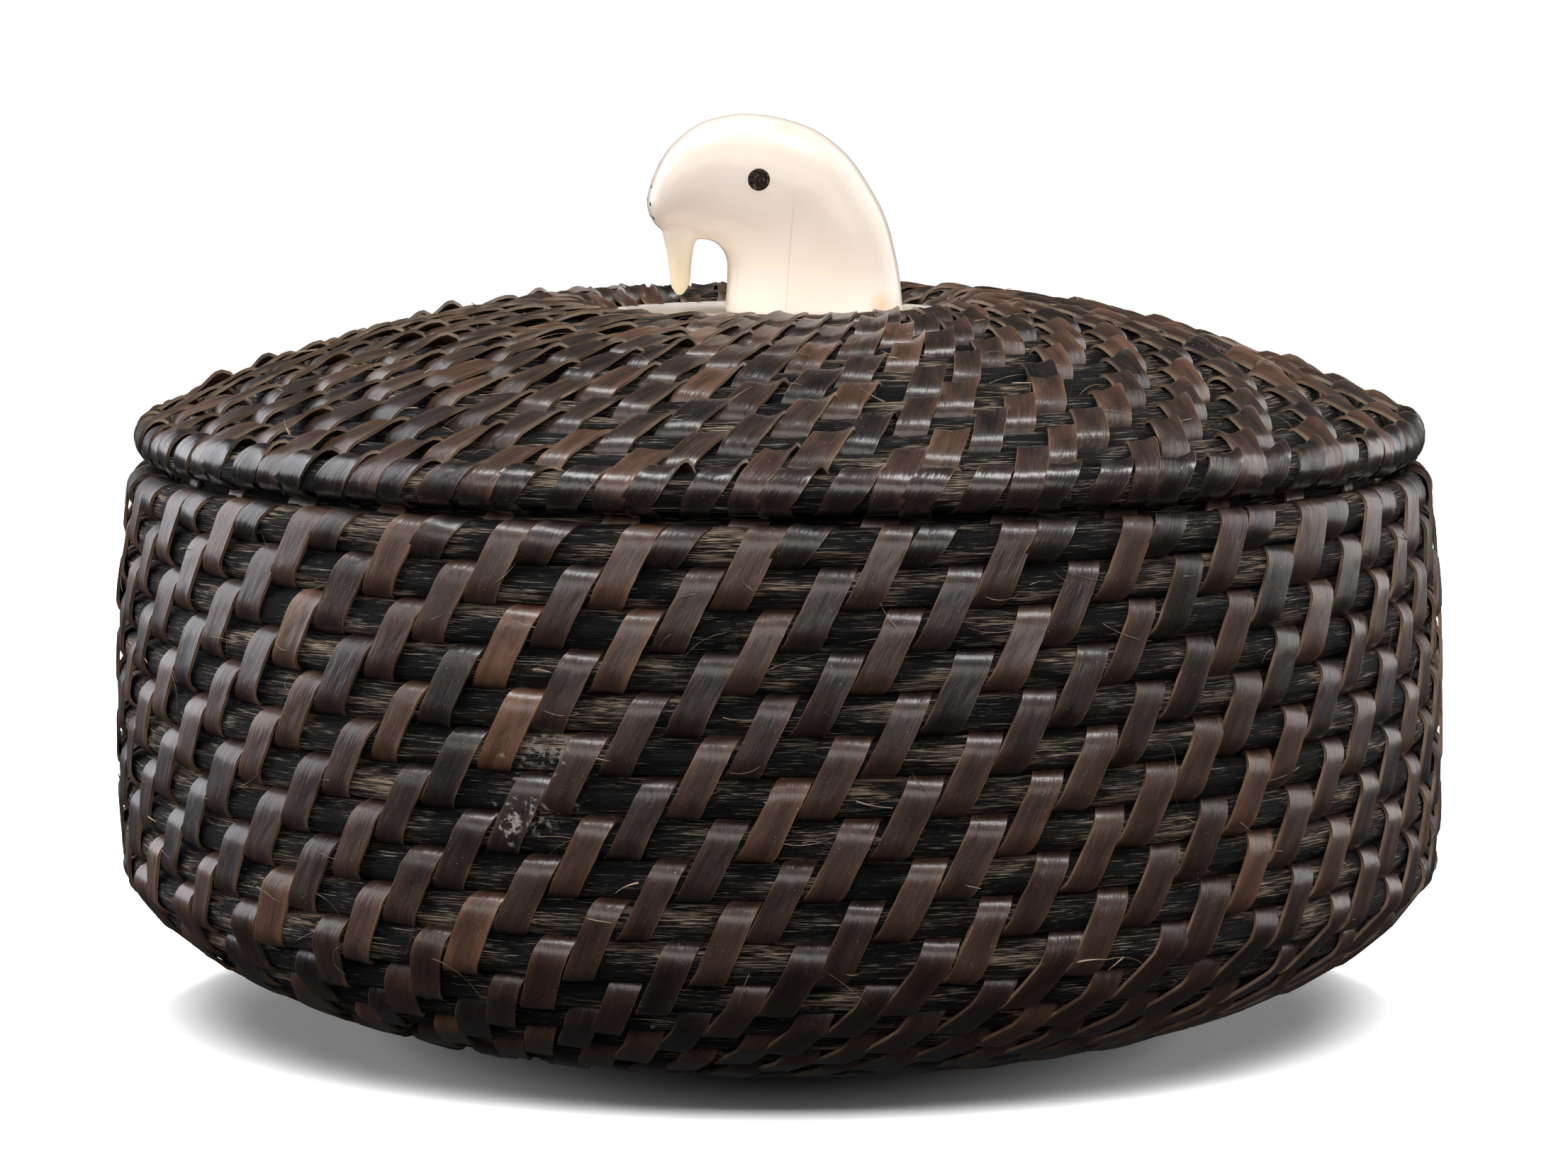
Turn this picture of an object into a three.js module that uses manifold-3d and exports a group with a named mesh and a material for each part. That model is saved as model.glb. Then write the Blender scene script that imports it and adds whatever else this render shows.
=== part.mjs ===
// Lidded baleen basket: coiled baleen rods bound with baleen strip on ivory starter discs, with a carved
// ivory walrus head on the lid. Millimetres, +Z up. The origin is on the axis, on the table.
// The photograph is taken from -Y, so +X is its right, and the coils climb at the back, at +Y.

import * as THREE from "three";
import { mergeVertices } from "three/addons/utils/BufferGeometryUtils.js";
import Module from "manifold-3d";

const wasm = await Module();
wasm.setup();

// Baleen rod and strip
const rodDiameter = 2.7;
const spliceGap = 0.3;           // where one length of rod meets the next, under the lashing
const stripWidth = 2.5;
const stripThickness = 0.35;
const stripSeatGap = 0.095;      // strip to rod, where it passes between two rods
const stripFaceGap = 0.22;        // strip to rod, on the two faces of a wall
const stripSideGap = 0.12;       // between two strips side by side
const stripLean = THREE.MathUtils.degToRad(25.6);
const stitchSpacing = 10;
const lidStitchSpacing = 10.6;

// Basket body, at the centre line of its rod
const bellyRadius = 55.75;
const bellyHeight = 27.5;
const rimDrawIn = 1.25;          // how far the rim lies inside the belly
const rimHeight = 47.5;
const footDrawIn = 0.4;          // how far the lowest row of the wall lies inside the belly
const footHeight = 15.1;
const lashedCourses = 9;         // the courses of lashing that are modelled, counted down from the rim
const baseRodPitch = 3.7;
const baseLift = 2.05;           // the innermost rod's centre line above the table
const dishPowerShare = 2.25;
const dishCornerShare = 0.75;

// Lid, at the centre line of its rod
const lidRimInset = 0.1;         // the lid's outermost rod lies this much inside the basket's rim rod
const lidGap = 0.15;             // between the strips on the rim and the strips of the lid
const lidRise = 10;
const lidDomeShare = 1.55;
const lidRodPitch = 3.18;
const flangeClearance = 0.4;     // between the strips of the flange and the strips inside the rim
const flangeHang = 0.45;         // between the strips of the flange and the strips under the lid
const flangeRows = 2;

// Ivory starter discs, and the peg that holds the finial
const discRadius = 16.2;
const discThickness = 2.2;
const discChamfer = 0.45;
const discRodGap = 0.75;
const lidDiscLift = 0.45;        // the lid disc's top above its first rod's centre line
const lashHoleDiameter = 0.9;
const lashHoleInset = 1.5;
const lashHoles = 12;
const pegDiameter = 3.2;
const pegClearance = 0.15;
const pegHeadDepth = 6;

// Finial: a walrus head that looks towards -X
const finialHeight = 17.1;
const finialLength = 21.8;
const finialWidth = 11;
const finialForward = 11.5;      // from the axis to the tip of the muzzle
const finialSeatGap = 0.05;
const tuskLength = 5.2;
const tuskDiameter = 2.2;
const tuskTipDiameter = 0.7;
const tuskSpread = 3.8;
const tuskRoot = 1.6;            // how far the root of a tusk reaches into the muzzle
const eyeDiameter = 1.9;
const eyeDepth = 1.1;
const eyeProud = 0.1;
const inlayClearance = 0.1;

// How finely round shapes are faceted
const rodSides = 5;
const stepsPerTurn = 24;
const climbSteps = 4;            // the steps at the back in which a coil moves up to its next row
const taperSteps = 2;            // the steps in which a coil's first and last ends are thinned
const curveSamples = 80;
const discSides = 24;
const holeSides = 6;
const pegSides = 12;
const eyeSides = 12;
const headSides = 14;
const tuskSides = 7;
const tuskRings = 5;
const cutOverrun = 0.5;

// Values that follow from the sizes above
const fullTurn = 2 * Math.PI;
const rodRadius = rodDiameter / 2;
const rowGap = stripThickness + 2 * stripSeatGap;
const rowPitch = rodDiameter + rowGap;
const stripReach = rodRadius + stripFaceGap + stripThickness;
const rodFlat = rodRadius * Math.cos(Math.PI / rodSides);
const stripBackReach = rodFlat + stripFaceGap + stripThickness;
const stripRun = stripWidth / Math.cos(stripLean);
const rimRadius = bellyRadius - rimDrawIn;
const footRadius = bellyRadius - footDrawIn;
const firstRowRadius = discRadius + discRodGap + rodRadius;
const startAngle = Math.PI / 2 + climbSteps / stepsPerTurn * Math.PI;

const baleenRod = new THREE.MeshStandardMaterial({ color: 0x1d1916, roughness: 0.75, metalness: 0 });
const baleenStrip = new THREE.MeshStandardMaterial({ color: 0x35261e, roughness: 0.35, metalness: 0 });
const ivory = new THREE.MeshStandardMaterial({ color: 0xf1e8da, roughness: 0.3, metalness: 0 });
const pegWood = new THREE.MeshStandardMaterial({ color: 0xb9986a, roughness: 0.6, metalness: 0 });
const darkInlay = new THREE.MeshStandardMaterial({ color: 0x2a1a12, roughness: 0.5, metalness: 0 });

const basket = new THREE.Group();
const lid = new THREE.Group();
const object = new THREE.Group();
object.add(basket, lid);

function addMesh(group, name, geometry, material) {
  const mesh = new THREE.Mesh(geometry, material);
  mesh.name = name;
  group.add(mesh);
}

// Closed bodies from rings of points

function signedVolume(points, faces) {
  const part = ([a, b, c]) => points[a].dot(new THREE.Vector3().crossVectors(points[b], points[c]));
  return faces.reduce((sum, face) => sum + part(face), 0);
}

function body(points, faces) {
  const outward = signedVolume(points, faces) > 0 ? faces : faces.map(([a, b, c]) => [a, c, b]);
  const geometry = new THREE.BufferGeometry();
  geometry.setAttribute("position", new THREE.Float32BufferAttribute(points.flatMap((p) => p.toArray()), 3));
  geometry.setIndex(outward.flat());
  geometry.computeVertexNormals();
  return geometry;
}

function skin(rings) {
  const count = rings[0].length;
  const last = (rings.length - 1) * count;
  const faces = [];
  for (let start = 0; start < last; start += count) {
    for (let side = 0; side < count; side += 1) {
      const a = start + side;
      const b = start + (side + 1) % count;
      faces.push([a, b, b + count], [a, b + count, a + count]);
    }
  }
  for (let side = 1; side + 1 < count; side += 1) {
    faces.push([0, side + 1, side], [last, last + side, last + side + 1]);
  }
  return body(rings.flat(), faces);
}

function toManifold(geometry) {
  const bare = geometry.clone();
  bare.deleteAttribute("normal");
  bare.deleteAttribute("uv");
  const merged = mergeVertices(bare);
  return new wasm.Manifold(new wasm.Mesh({
    numProp: 3,
    vertProperties: new Float32Array(merged.attributes.position.array),
    triVerts: new Uint32Array(merged.index.array),
  }));
}

function fromManifold(manifold) {
  const mesh = manifold.getMesh();
  const geometry = new THREE.BufferGeometry();
  geometry.setAttribute("position", new THREE.Float32BufferAttribute(mesh.vertProperties, 3));
  geometry.setIndex(Array.from(mesh.triVerts));
  geometry.computeVertexNormals();
  return geometry;
}

function subtractAll(geometry, cutters) {
  return fromManifold(cutters.reduce((rest, cutter) => rest.subtract(toManifold(cutter)), toManifold(geometry)));
}

function uprightCylinder(diameter, bottom, top, sides) {
  const cylinder = new THREE.CylinderGeometry(diameter / 2, diameter / 2, top - bottom, sides);
  return cylinder.rotateX(Math.PI / 2).translate(0, 0, (bottom + top) / 2);
}

// Meridians: the centre of each row of rod as (radius, height), from the disc outwards

function spacedRows(pointAt, pitch) {
  const shares = Array.from({ length: curveSamples + 1 }, (_, i) => i / curveSamples);
  const curve = new THREE.SplineCurve(shares.map(pointAt));
  return curve.getSpacedPoints(Math.round(curve.getLength() / pitch));
}

function basePoint(share) {
  const reach = Math.sin(share * Math.PI / 2);
  const rise = 1 - (1 - reach ** dishPowerShare) ** dishCornerShare;
  return new THREE.Vector2(
    THREE.MathUtils.lerp(firstRowRadius, footRadius, reach),
    THREE.MathUtils.lerp(baseLift, footHeight, rise),
  );
}

function wallRow(height) {
  const above = height > bellyHeight;
  const span = above ? rimHeight - bellyHeight : bellyHeight - footHeight;
  const drawIn = above ? rimDrawIn : footDrawIn;
  return new THREE.Vector2(bellyRadius - drawIn * ((height - bellyHeight) / span) ** 2, height);
}

const baseRows = spacedRows(basePoint, Math.max(baseRodPitch, rowPitch));
const wallHeight = rimHeight - footHeight;
const wallGaps = Math.max(1, Math.floor(wallHeight / rowPitch + rowGap / rowPitch));
const wallPitch = wallHeight / wallGaps;
const wallRows = Array.from({ length: wallGaps }, (_, i) => wallRow(footHeight + (i + 1) * wallPitch));
const bodyRows = [...baseRows, ...wallRows];

const lidPitch = Math.max(lidRodPitch, rowPitch - stripSeatGap);
const lidRimRadius = rimRadius - lidRimInset;
const lidSlope = Math.atan(lidRise * lidDomeShare / (lidRimRadius - firstRowRadius));
const lidStripEdge = (lidPitch + stripThickness) / 2 * Math.sin(lidSlope) + stripBackReach * Math.cos(lidSlope);
const lidRimHeight = rimHeight + (wallPitch + stripThickness) / 2 + lidGap + lidStripEdge;

function lidPoint(share) {
  return new THREE.Vector2(
    THREE.MathUtils.lerp(firstRowRadius, lidRimRadius, share),
    lidRimHeight + lidRise * (1 - share ** lidDomeShare),
  );
}

const lidRows = spacedRows(lidPoint, lidPitch);

const flangeRadius = rimRadius - stripBackReach - stripReach - flangeClearance;
const underRow = lidRows[lidRows.length - 2];
const underSlope = (flangeRadius + stripReach - underRow.x) * Math.tan(lidSlope);
const underStrips = underRow.y - underSlope - stripBackReach / Math.cos(lidSlope);
const flangeTop = underStrips - flangeHang - (rowPitch + stripThickness) / 2;
const flangeRowCentres = Array.from({ length: flangeRows }, (_, i) => (
  new THREE.Vector2(flangeRadius, flangeTop - (flangeRows - 1 - i) * rowPitch)
));

// A coil is level in front and climbs one row in a few steps at the back. outerSide is 1 where the outer
// face lies to the right of the way in which the rows run, as on the body, and -1 on the lid.

function makeCoil(rows, outerSide) {
  const climbShare = climbSteps / stepsPerTurn;
  const lastRow = rows.length - 1;

  function climbAt(step) {
    const turn = step / stepsPerTurn;
    const along = (turn - Math.floor(turn) - (1 - climbShare)) / climbShare;
    return THREE.MathUtils.smoothstep(along, 0, 1);
  }

  function rowAt(step) {
    return THREE.MathUtils.clamp(Math.floor(step / stepsPerTurn) + climbAt(step), 0, lastRow);
  }

  function centreOf(row) {
    const lower = Math.min(Math.floor(row), lastRow - 1);
    return rows[lower].clone().lerp(rows[lower + 1], row - lower);
  }

  function frameOf(row) {
    const before = centreOf(Math.max(0, row - 0.5));
    const along = centreOf(Math.min(lastRow, row + 0.5)).sub(before).normalize();
    const out = new THREE.Vector2(along.y, -along.x).multiplyScalar(outerSide);
    return { centre: centreOf(row), along, out };
  }

  const topPitch = rows[lastRow].distanceTo(rows[lastRow - 1]);
  return { lastRow, topPitch, climbAt, rowAt, frameOf };
}

function revolve(meridianPoint, step) {
  const angle = startAngle + step / stepsPerTurn * fullTurn;
  return new THREE.Vector3(
    meridianPoint.x * Math.cos(angle),
    meridianPoint.x * Math.sin(angle),
    meridianPoint.y,
  );
}

// The rod's section at a step. Before the first step and after the last one the rod is thinned to fill
// the wedge that the climbing row leaves, so the coil starts round and ends level.
function rodRing(coil, step, lastStep) {
  const beforeStart = step < 0;
  const pastEnd = step > lastStep;
  const row = beforeStart ? 0 : coil.rowAt(Math.min(step, lastStep));
  const { centre, along, out } = coil.frameOf(row);
  let radius = rodRadius;
  if (beforeStart || pastEnd) {
    const climb = coil.climbAt(step);
    radius = (rowPitch * (pastEnd ? 1 - climb : climb) - rowGap) / 2;
    centre.addScaledVector(along, (pastEnd ? 1 : -1) * (rodRadius - radius));
  }
  return Array.from({ length: rodSides }, (_, side) => {
    const turn = side / rodSides * fullTurn;
    const point = centre.clone().addScaledVector(out, radius * Math.cos(turn));
    return revolve(point.addScaledVector(along, radius * Math.sin(turn)), step);
  });
}

function coilEnd(coil) {
  return (coil.lastRow + 1) * stepsPerTurn - climbSteps;
}

function rodLength(coil, firstRow, lastRow) {
  const end = coilEnd(coil);
  const starts = firstRow === 0;
  const finishes = lastRow === coil.lastRow;
  const first = starts ? -taperSteps : firstRow * stepsPerTurn;
  const last = finishes ? end + taperSteps : (lastRow + 1) * stepsPerTurn;
  const rings = [];
  for (let step = first; step <= last; step += 1) {
    rings.push(rodRing(coil, step, end));
  }
  if (!finishes) {
    const chord = rings.at(-1)[0].distanceTo(rings.at(-2)[0]);
    rings.at(-1).forEach((point, i) => point.lerp(rings.at(-2)[i], spliceGap / chord));
  }
  return skin(rings);
}

// A lashing strip goes round the rod of its own row and the rod below, once a stitch. Its section is flat
// outside and ridged inside, in four places a stitch: outside low and high, then inside high and low.

function stripCorner(coil, step, isHigh, isOuter, depth) {
  const high = coil.frameOf(coil.rowAt(step));
  const low = coil.frameOf(coil.rowAt(step - stepsPerTurn));
  const between = (coil.topPitch - stripThickness) / 2 + depth;
  const { along, out } = high;
  const start = (isHigh ? high : low).centre;
  const reach = (isOuter ? rodRadius : rodFlat) + stripFaceGap + depth;
  const corner = start.clone().addScaledVector(out, isOuter ? reach : -reach);
  return revolve(corner.addScaledVector(along, isHigh ? between : -between), step);
}

function stripPoint(coil, turn, isHigh, isOuter, depth) {
  const step = Math.floor(turn * stepsPerTurn);
  const share = turn * stepsPerTurn - step;
  const point = stripCorner(coil, step, isHigh, isOuter, depth);
  return point.lerp(stripCorner(coil, step + 1, isHigh, isOuter, depth), share);
}

// The lashing of a coil is the same in each course, measured in turns at one radius: the stitches that pass
// in a turn, the lean of a strip's outer face and half of the room that a strip takes. Each course lies beside
// its neighbours on the rod that they share, and inside, where the strips cross over to their next stitch,
// they are drawn in to pass one another.
function makeLashing(coil, radius, spacing, lean) {
  const around = fullTurn * radius;
  const stitches = Math.round(around / spacing);
  const face = 2 * rowPitch + stripThickness;
  const rowShift = rowPitch * Math.tan(stripLean) + stripRun + stripSideGap;
  const insideRoom = around / stitches * (1 - rowPitch / face) - stripRun - 2 * stripSideGap;
  return {
    coil,
    pace: stitches * (1 - lean * rowShift / around),
    leanTurn: lean * Math.tan(stripLean) * face / around,
    halfRun: stripRun / 2 / around,
    insideHalfRun: Math.min(stripRun, insideRoom) / 2 / around,
  };
}

function stripRing(coil, turn, halfRun, isHigh, isOuter) {
  return [
    stripPoint(coil, turn - halfRun, isHigh, isOuter, stripThickness),
    stripPoint(coil, turn + halfRun, isHigh, isOuter, stripThickness),
    stripPoint(coil, turn, isHigh, isOuter, 0),
  ];
}

function lashingCourse({ coil, pace, leanTurn, halfRun, insideHalfRun }, row) {
  const rings = [];
  for (let stitch = Math.ceil(row * pace); stitch < (row + 1) * pace; stitch += 1) {
    const turn = stitch / pace;
    const next = (stitch + 1) / pace;
    rings.push(stripRing(coil, turn - leanTurn / 2, halfRun, false, true));
    rings.push(stripRing(coil, turn + leanTurn / 2, halfRun, true, true));
    rings.push(stripRing(coil, turn + leanTurn / 2, insideHalfRun, true, false));
    rings.push(stripRing(coil, next - leanTurn / 2, insideHalfRun, false, false));
  }
  return skin(rings);
}

// Ivory starter discs, drilled round the edge for the first round of lashing

function starterDisc(bottom) {
  const top = bottom + discThickness;
  const profile = [
    [0, bottom],
    [discRadius - discChamfer, bottom],
    [discRadius, bottom + discChamfer],
    [discRadius, top - discChamfer],
    [discRadius - discChamfer, top],
    [0, top],
  ];
  const lathe = new THREE.LatheGeometry(profile.map(([x, y]) => new THREE.Vector2(x, y)), discSides);
  return lathe.rotateX(Math.PI / 2);
}

function lashHoleCutters(bottom) {
  return Array.from({ length: lashHoles }, (_, i) => {
    const angle = (i + 0.5) / lashHoles * fullTurn;
    const hole = uprightCylinder(lashHoleDiameter, bottom - cutOverrun, bottom + discThickness + cutOverrun, holeSides);
    const radius = discRadius - lashHoleInset;
    return hole.translate(radius * Math.cos(angle), radius * Math.sin(angle), 0);
  });
}

// The walrus head: sections from the seat of the neck, over the crown, to the tip of the muzzle. Each
// gives the throat's and the crown's place as shares of the length from the muzzle and of the height,
// then the half width as a share of the finial's width.
const headSectionShares = [
  [0.312, 0.000, 1.000, 0.000, 0.47],
  [0.319, 0.190, 0.988, 0.210, 0.47],
  [0.317, 0.290, 0.945, 0.450, 0.48],
  [0.287, 0.350, 0.885, 0.620, 0.49],
  [0.245, 0.385, 0.790, 0.800, 0.50],
  [0.195, 0.385, 0.640, 0.935, 0.49],
  [0.145, 0.390, 0.420, 1.000, 0.47],
  [0.100, 0.400, 0.235, 0.965, 0.45],
  [0.062, 0.412, 0.115, 0.862, 0.42],
  [0.032, 0.445, 0.052, 0.755, 0.36],
  [0.010, 0.497, 0.014, 0.640, 0.24],
  [0.000, 0.540, 0.002, 0.580, 0.08],
];
const eyeAlongShare = 0.446;
const eyeHeightShare = 0.681;
const tuskAlongShare = 0.132;
const muzzleHeightShare = 0.395;

const lidDiscTop = lidRows[0].y + lidDiscLift;
const finialSeat = lidDiscTop + finialSeatGap;
const finialX = (share) => share * finialLength - finialForward;
const finialZ = (share) => finialSeat + share * finialHeight;

function headSections() {
  return headSectionShares.map(([throatAlong, throatUp, crownAlong, crownUp, halfWidth]) => {
    const throat = new THREE.Vector3(finialX(throatAlong), 0, finialZ(throatUp));
    const crown = new THREE.Vector3(finialX(crownAlong), 0, finialZ(crownUp));
    return { throat, crown, halfWidth: halfWidth * finialWidth };
  });
}

function headShape() {
  return skin(headSections().map(({ throat, crown, halfWidth }) => {
    const centre = throat.clone().lerp(crown, 0.5);
    const half = crown.clone().sub(centre);
    return Array.from({ length: headSides }, (_, side) => {
      const turn = side / headSides * fullTurn;
      const point = centre.clone().addScaledVector(half, Math.cos(turn));
      return point.setY(halfWidth * Math.sin(turn));
    });
  }));
}

// How far the cheek stands out from the middle plane at a place in the side view
function cheekAt(x, z) {
  const sections = headSections();
  const side = ({ throat, crown }) => (crown.x - throat.x) * (z - throat.z) - (crown.z - throat.z) * (x - throat.x);
  const next = sections.findIndex((section, i) => i > 0 && side(sections[i - 1]) * side(section) <= 0);
  const [a, b] = [sections[next - 1], sections[next]];
  const share = side(a) / (side(a) - side(b));
  const throat = a.throat.clone().lerp(b.throat, share);
  const crown = a.crown.clone().lerp(b.crown, share);
  const along = new THREE.Vector3(x, 0, z).distanceTo(throat) / crown.distanceTo(throat);
  const halfWidth = THREE.MathUtils.lerp(a.halfWidth, b.halfWidth, share);
  return halfWidth * Math.sqrt(1 - (2 * along - 1) ** 2) * Math.cos(Math.PI / headSides);
}

function tusk(side) {
  const root = new THREE.Vector3(finialX(tuskAlongShare), side * tuskSpread / 2, finialZ(muzzleHeightShare));
  const rings = Array.from({ length: tuskRings }, (_, i) => {
    const share = i / (tuskRings - 1);
    const drop = THREE.MathUtils.lerp(-tuskRoot, tuskLength, share);
    const radius = THREE.MathUtils.lerp(tuskDiameter, tuskTipDiameter, share) / 2;
    return Array.from({ length: tuskSides }, (__, corner) => {
      const turn = corner / tuskSides * fullTurn;
      const sweep = tuskDiameter / 4 * share ** 2;
      return new THREE.Vector3(
        root.x + sweep + radius * Math.cos(turn),
        root.y + radius * Math.sin(turn),
        root.z - drop,
      );
    });
  });
  return skin(rings);
}

const eyeX = finialX(eyeAlongShare);
const eyeZ = finialZ(eyeHeightShare);
const eyeSurface = cheekAt(eyeX, eyeZ);

function eyePlug(side, diameter, depth, proud) {
  const plug = new THREE.CylinderGeometry(diameter / 2, diameter / 2, depth + proud, eyeSides);
  return plug.translate(eyeX, side * (eyeSurface + (proud - depth) / 2), eyeZ);
}

function pegCutter() {
  const diameter = pegDiameter + 2 * pegClearance;
  const bottom = lidDiscTop - discThickness - cutOverrun;
  return uprightCylinder(diameter, bottom, finialSeat + pegHeadDepth + pegClearance, pegSides);
}

function finialHead() {
  const head = [-1, 1].reduce((rest, side) => rest.add(toManifold(tusk(side))), toManifold(headShape()));
  const socket = eyeDiameter + 2 * inlayClearance;
  const cutters = [
    ...[-1, 1].map((side) => eyePlug(side, socket, eyeDepth + inlayClearance, cutOverrun)),
    pegCutter(),
  ];
  return subtractAll(fromManifold(head), cutters);
}

// Assembly

const bodyCoil = makeCoil(bodyRows, 1);
const lidCoil = makeCoil(lidRows, -1);
const flangeCoil = makeCoil(flangeRowCentres, 1);
const bodyLashing = makeLashing(bodyCoil, bellyRadius, stitchSpacing, 1);
const lidLashing = makeLashing(lidCoil, lidRimRadius, lidStitchSpacing, -1);
const flangeLashing = makeLashing(flangeCoil, flangeRadius, stitchSpacing, 1);

function addRods(group, coil, firstRow, lastRow, names) {
  const rows = lastRow - firstRow + 1;
  names.forEach((name, i) => {
    const from = firstRow + Math.round(i * rows / names.length);
    const to = firstRow + Math.round((i + 1) * rows / names.length) - 1;
    addMesh(group, name, rodLength(coil, from, to), baleenRod);
  });
}

const lastBaseRow = baseRows.length - 2;
addMesh(basket, "base_disc", subtractAll(starterDisc(0), lashHoleCutters(0)), ivory);
addRods(basket, bodyCoil, 0, lastBaseRow, ["base_rod_inner", "base_rod_outer"]);
addRods(basket, bodyCoil, lastBaseRow + 1, bodyCoil.lastRow, ["wall_rod_lower", "wall_rod_middle", "wall_rod_rim"]);
addMesh(basket, "rim_lashing", lashingCourse(bodyLashing, bodyCoil.lastRow), baleenStrip);
for (let course = 2; course <= lashedCourses; course += 1) {
  const name = `wall_lashing_${String(course).padStart(2, "0")}`;
  addMesh(basket, name, lashingCourse(bodyLashing, bodyCoil.lastRow + 1 - course), baleenStrip);
}

const lidDiscBottom = lidDiscTop - discThickness;
const lidDiscCutters = [...lashHoleCutters(lidDiscBottom), pegCutter()];
addMesh(lid, "lid_disc", subtractAll(starterDisc(lidDiscBottom), lidDiscCutters), ivory);
addRods(lid, lidCoil, 0, lidCoil.lastRow, ["lid_rod_inner", "lid_rod_outer"]);
addMesh(lid, "lid_rim_lashing", lashingCourse(lidLashing, lidCoil.lastRow), baleenStrip);
addRods(lid, flangeCoil, 0, flangeCoil.lastRow, ["flange_rod"]);
addMesh(lid, "flange_lashing", lashingCourse(flangeLashing, flangeCoil.lastRow), baleenStrip);

addMesh(lid, "finial_head", finialHead(), ivory);
const pegTop = finialSeat + pegHeadDepth;
addMesh(lid, "finial_peg", uprightCylinder(pegDiameter, lidDiscBottom, pegTop, pegSides), pegWood);
addMesh(lid, "eye_left", eyePlug(-1, eyeDiameter, eyeDepth, eyeProud), darkInlay);
addMesh(lid, "eye_right", eyePlug(1, eyeDiameter, eyeDepth, eyeProud), darkInlay);

// The least gap between one row of rod and the next, measured between the corners of their sections
function leastRowGap(coil) {
  const gaps = [];
  for (let step = stepsPerTurn; step <= coilEnd(coil) + taperSteps; step += 1) {
    const upper = rodRing(coil, step, coilEnd(coil));
    const lower = rodRing(coil, step - stepsPerTurn, coilEnd(coil));
    gaps.push(...upper.flatMap((a) => lower.map((b) => a.distanceTo(b))));
  }
  return Math.min(...gaps);
}

const leastGaps = [bodyCoil, lidCoil, flangeCoil].map((coil) => leastRowGap(coil).toFixed(2));
console.log(`least gap between rows of the body, lid and flange coils: ${leastGaps.join(", ")} mm`);

export default object;
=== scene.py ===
import math

import bpy
import numpy as np
from mathutils import Matrix, Vector


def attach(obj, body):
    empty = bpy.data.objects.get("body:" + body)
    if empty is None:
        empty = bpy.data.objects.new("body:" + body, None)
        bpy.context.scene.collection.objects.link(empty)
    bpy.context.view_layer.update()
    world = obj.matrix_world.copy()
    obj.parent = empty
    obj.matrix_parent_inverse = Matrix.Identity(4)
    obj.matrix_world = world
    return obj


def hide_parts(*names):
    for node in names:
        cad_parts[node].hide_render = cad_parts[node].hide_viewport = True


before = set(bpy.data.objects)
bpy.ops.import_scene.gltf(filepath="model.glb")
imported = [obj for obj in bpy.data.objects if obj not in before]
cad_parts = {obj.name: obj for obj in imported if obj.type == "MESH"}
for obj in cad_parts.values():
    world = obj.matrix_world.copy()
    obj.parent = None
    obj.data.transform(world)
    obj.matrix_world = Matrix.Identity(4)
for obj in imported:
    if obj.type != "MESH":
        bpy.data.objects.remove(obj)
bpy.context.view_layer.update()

mm = 0.001
fullTurn = 2 * math.pi
chance = np.random.default_rng(41)  # every irregularity of the weaving comes from here

# Sizes in mm that several pieces share, at the centre of the rod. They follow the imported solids, but the
# rod is thicker and reaches up to its strips, and the lid's rim is drawn in a little
rod = {"radius": 1.46, "pitch": 3.24, "firstRow": 18.3, "climb": 1 / 6, "startAngle": math.radians(120)}
body = {"belly": 55.75, "bellyHeight": 27.5, "rim": 54.5, "rimHeight": 47.5, "foot": 55.35,
        "footHeight": 15.1, "lift": 2.05, "baseRows": 12, "wallRows": 10, "dish": 2.25, "corner": 0.75}
lid = {"rim": 53.95, "rimHeight": 51.669, "rise": 10, "dome": 1.55, "rows": 13, "strip": 0.29}
flange = {"radius": 50.518, "top": 48.465, "stitches": 32}
disc = {"radius": 16.2, "thickness": 2.2, "chamfer": 0.45, "lidTop": 62.119,
        "slotCircle": 14.95, "slot": 2.1, "slotNarrow": 0.42}


def place(piece, bodyName, material, replaced=()):
    piece.data.materials.clear()
    piece.data.materials.append(material)
    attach(piece, bodyName)
    if replaced:
        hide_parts(*replaced)
    return piece


def deselectAll():
    if bpy.context.object and bpy.context.object.mode == "EDIT":
        bpy.ops.object.mode_set(mode="OBJECT")
    bpy.ops.object.select_all(action="DESELECT")


def only(piece):
    deselectAll()
    piece.select_set(True)
    bpy.context.view_layer.objects.active = piece
    return piece


def joined(pieces):
    # all of them in the first one
    only(pieces[0])
    for piece in pieces[1:]:
        piece.select_set(True)
    bpy.ops.object.join()
    return pieces[0]


def smooth(piece, degrees=40):
    only(piece)
    bpy.ops.object.shade_smooth_by_angle(angle=math.radians(degrees))
    return piece


def turnedPiece(name, sides, radius, length, spot, edge, segments, rotation=(0, 0, 0)):
    # a cylinder with rounded edges: its sizes in mm, its place in metres
    deselectAll()
    bpy.ops.mesh.primitive_cylinder_add(vertices=sides, radius=radius * mm, depth=length * mm, location=spot,
                                        rotation=rotation)
    piece = bpy.context.object
    piece.name = name
    bpy.ops.object.transform_apply(location=True, rotation=True, scale=True)
    bevel = piece.modifiers.new("rounded edge", "BEVEL")
    bevel.width, bevel.segments = edge * mm, segments
    bpy.ops.object.modifier_apply(modifier=bevel.name)
    return piece


def soften(piece, times, group=""):
    softer = piece.modifiers.new("soften", "SMOOTH")
    softer.factor, softer.iterations, softer.vertex_group = 0.5, times, group
    bpy.ops.object.modifier_apply(modifier=softer.name)


# Materials


def colour(code):
    channels = [int(code[i:i + 2], 16) / 255 for i in (1, 3, 5)]
    linear = [c / 12.92 if c <= 0.04045 else ((c + 0.055) / 1.055) ** 2.4 for c in channels]
    return (*linear, 1)


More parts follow.
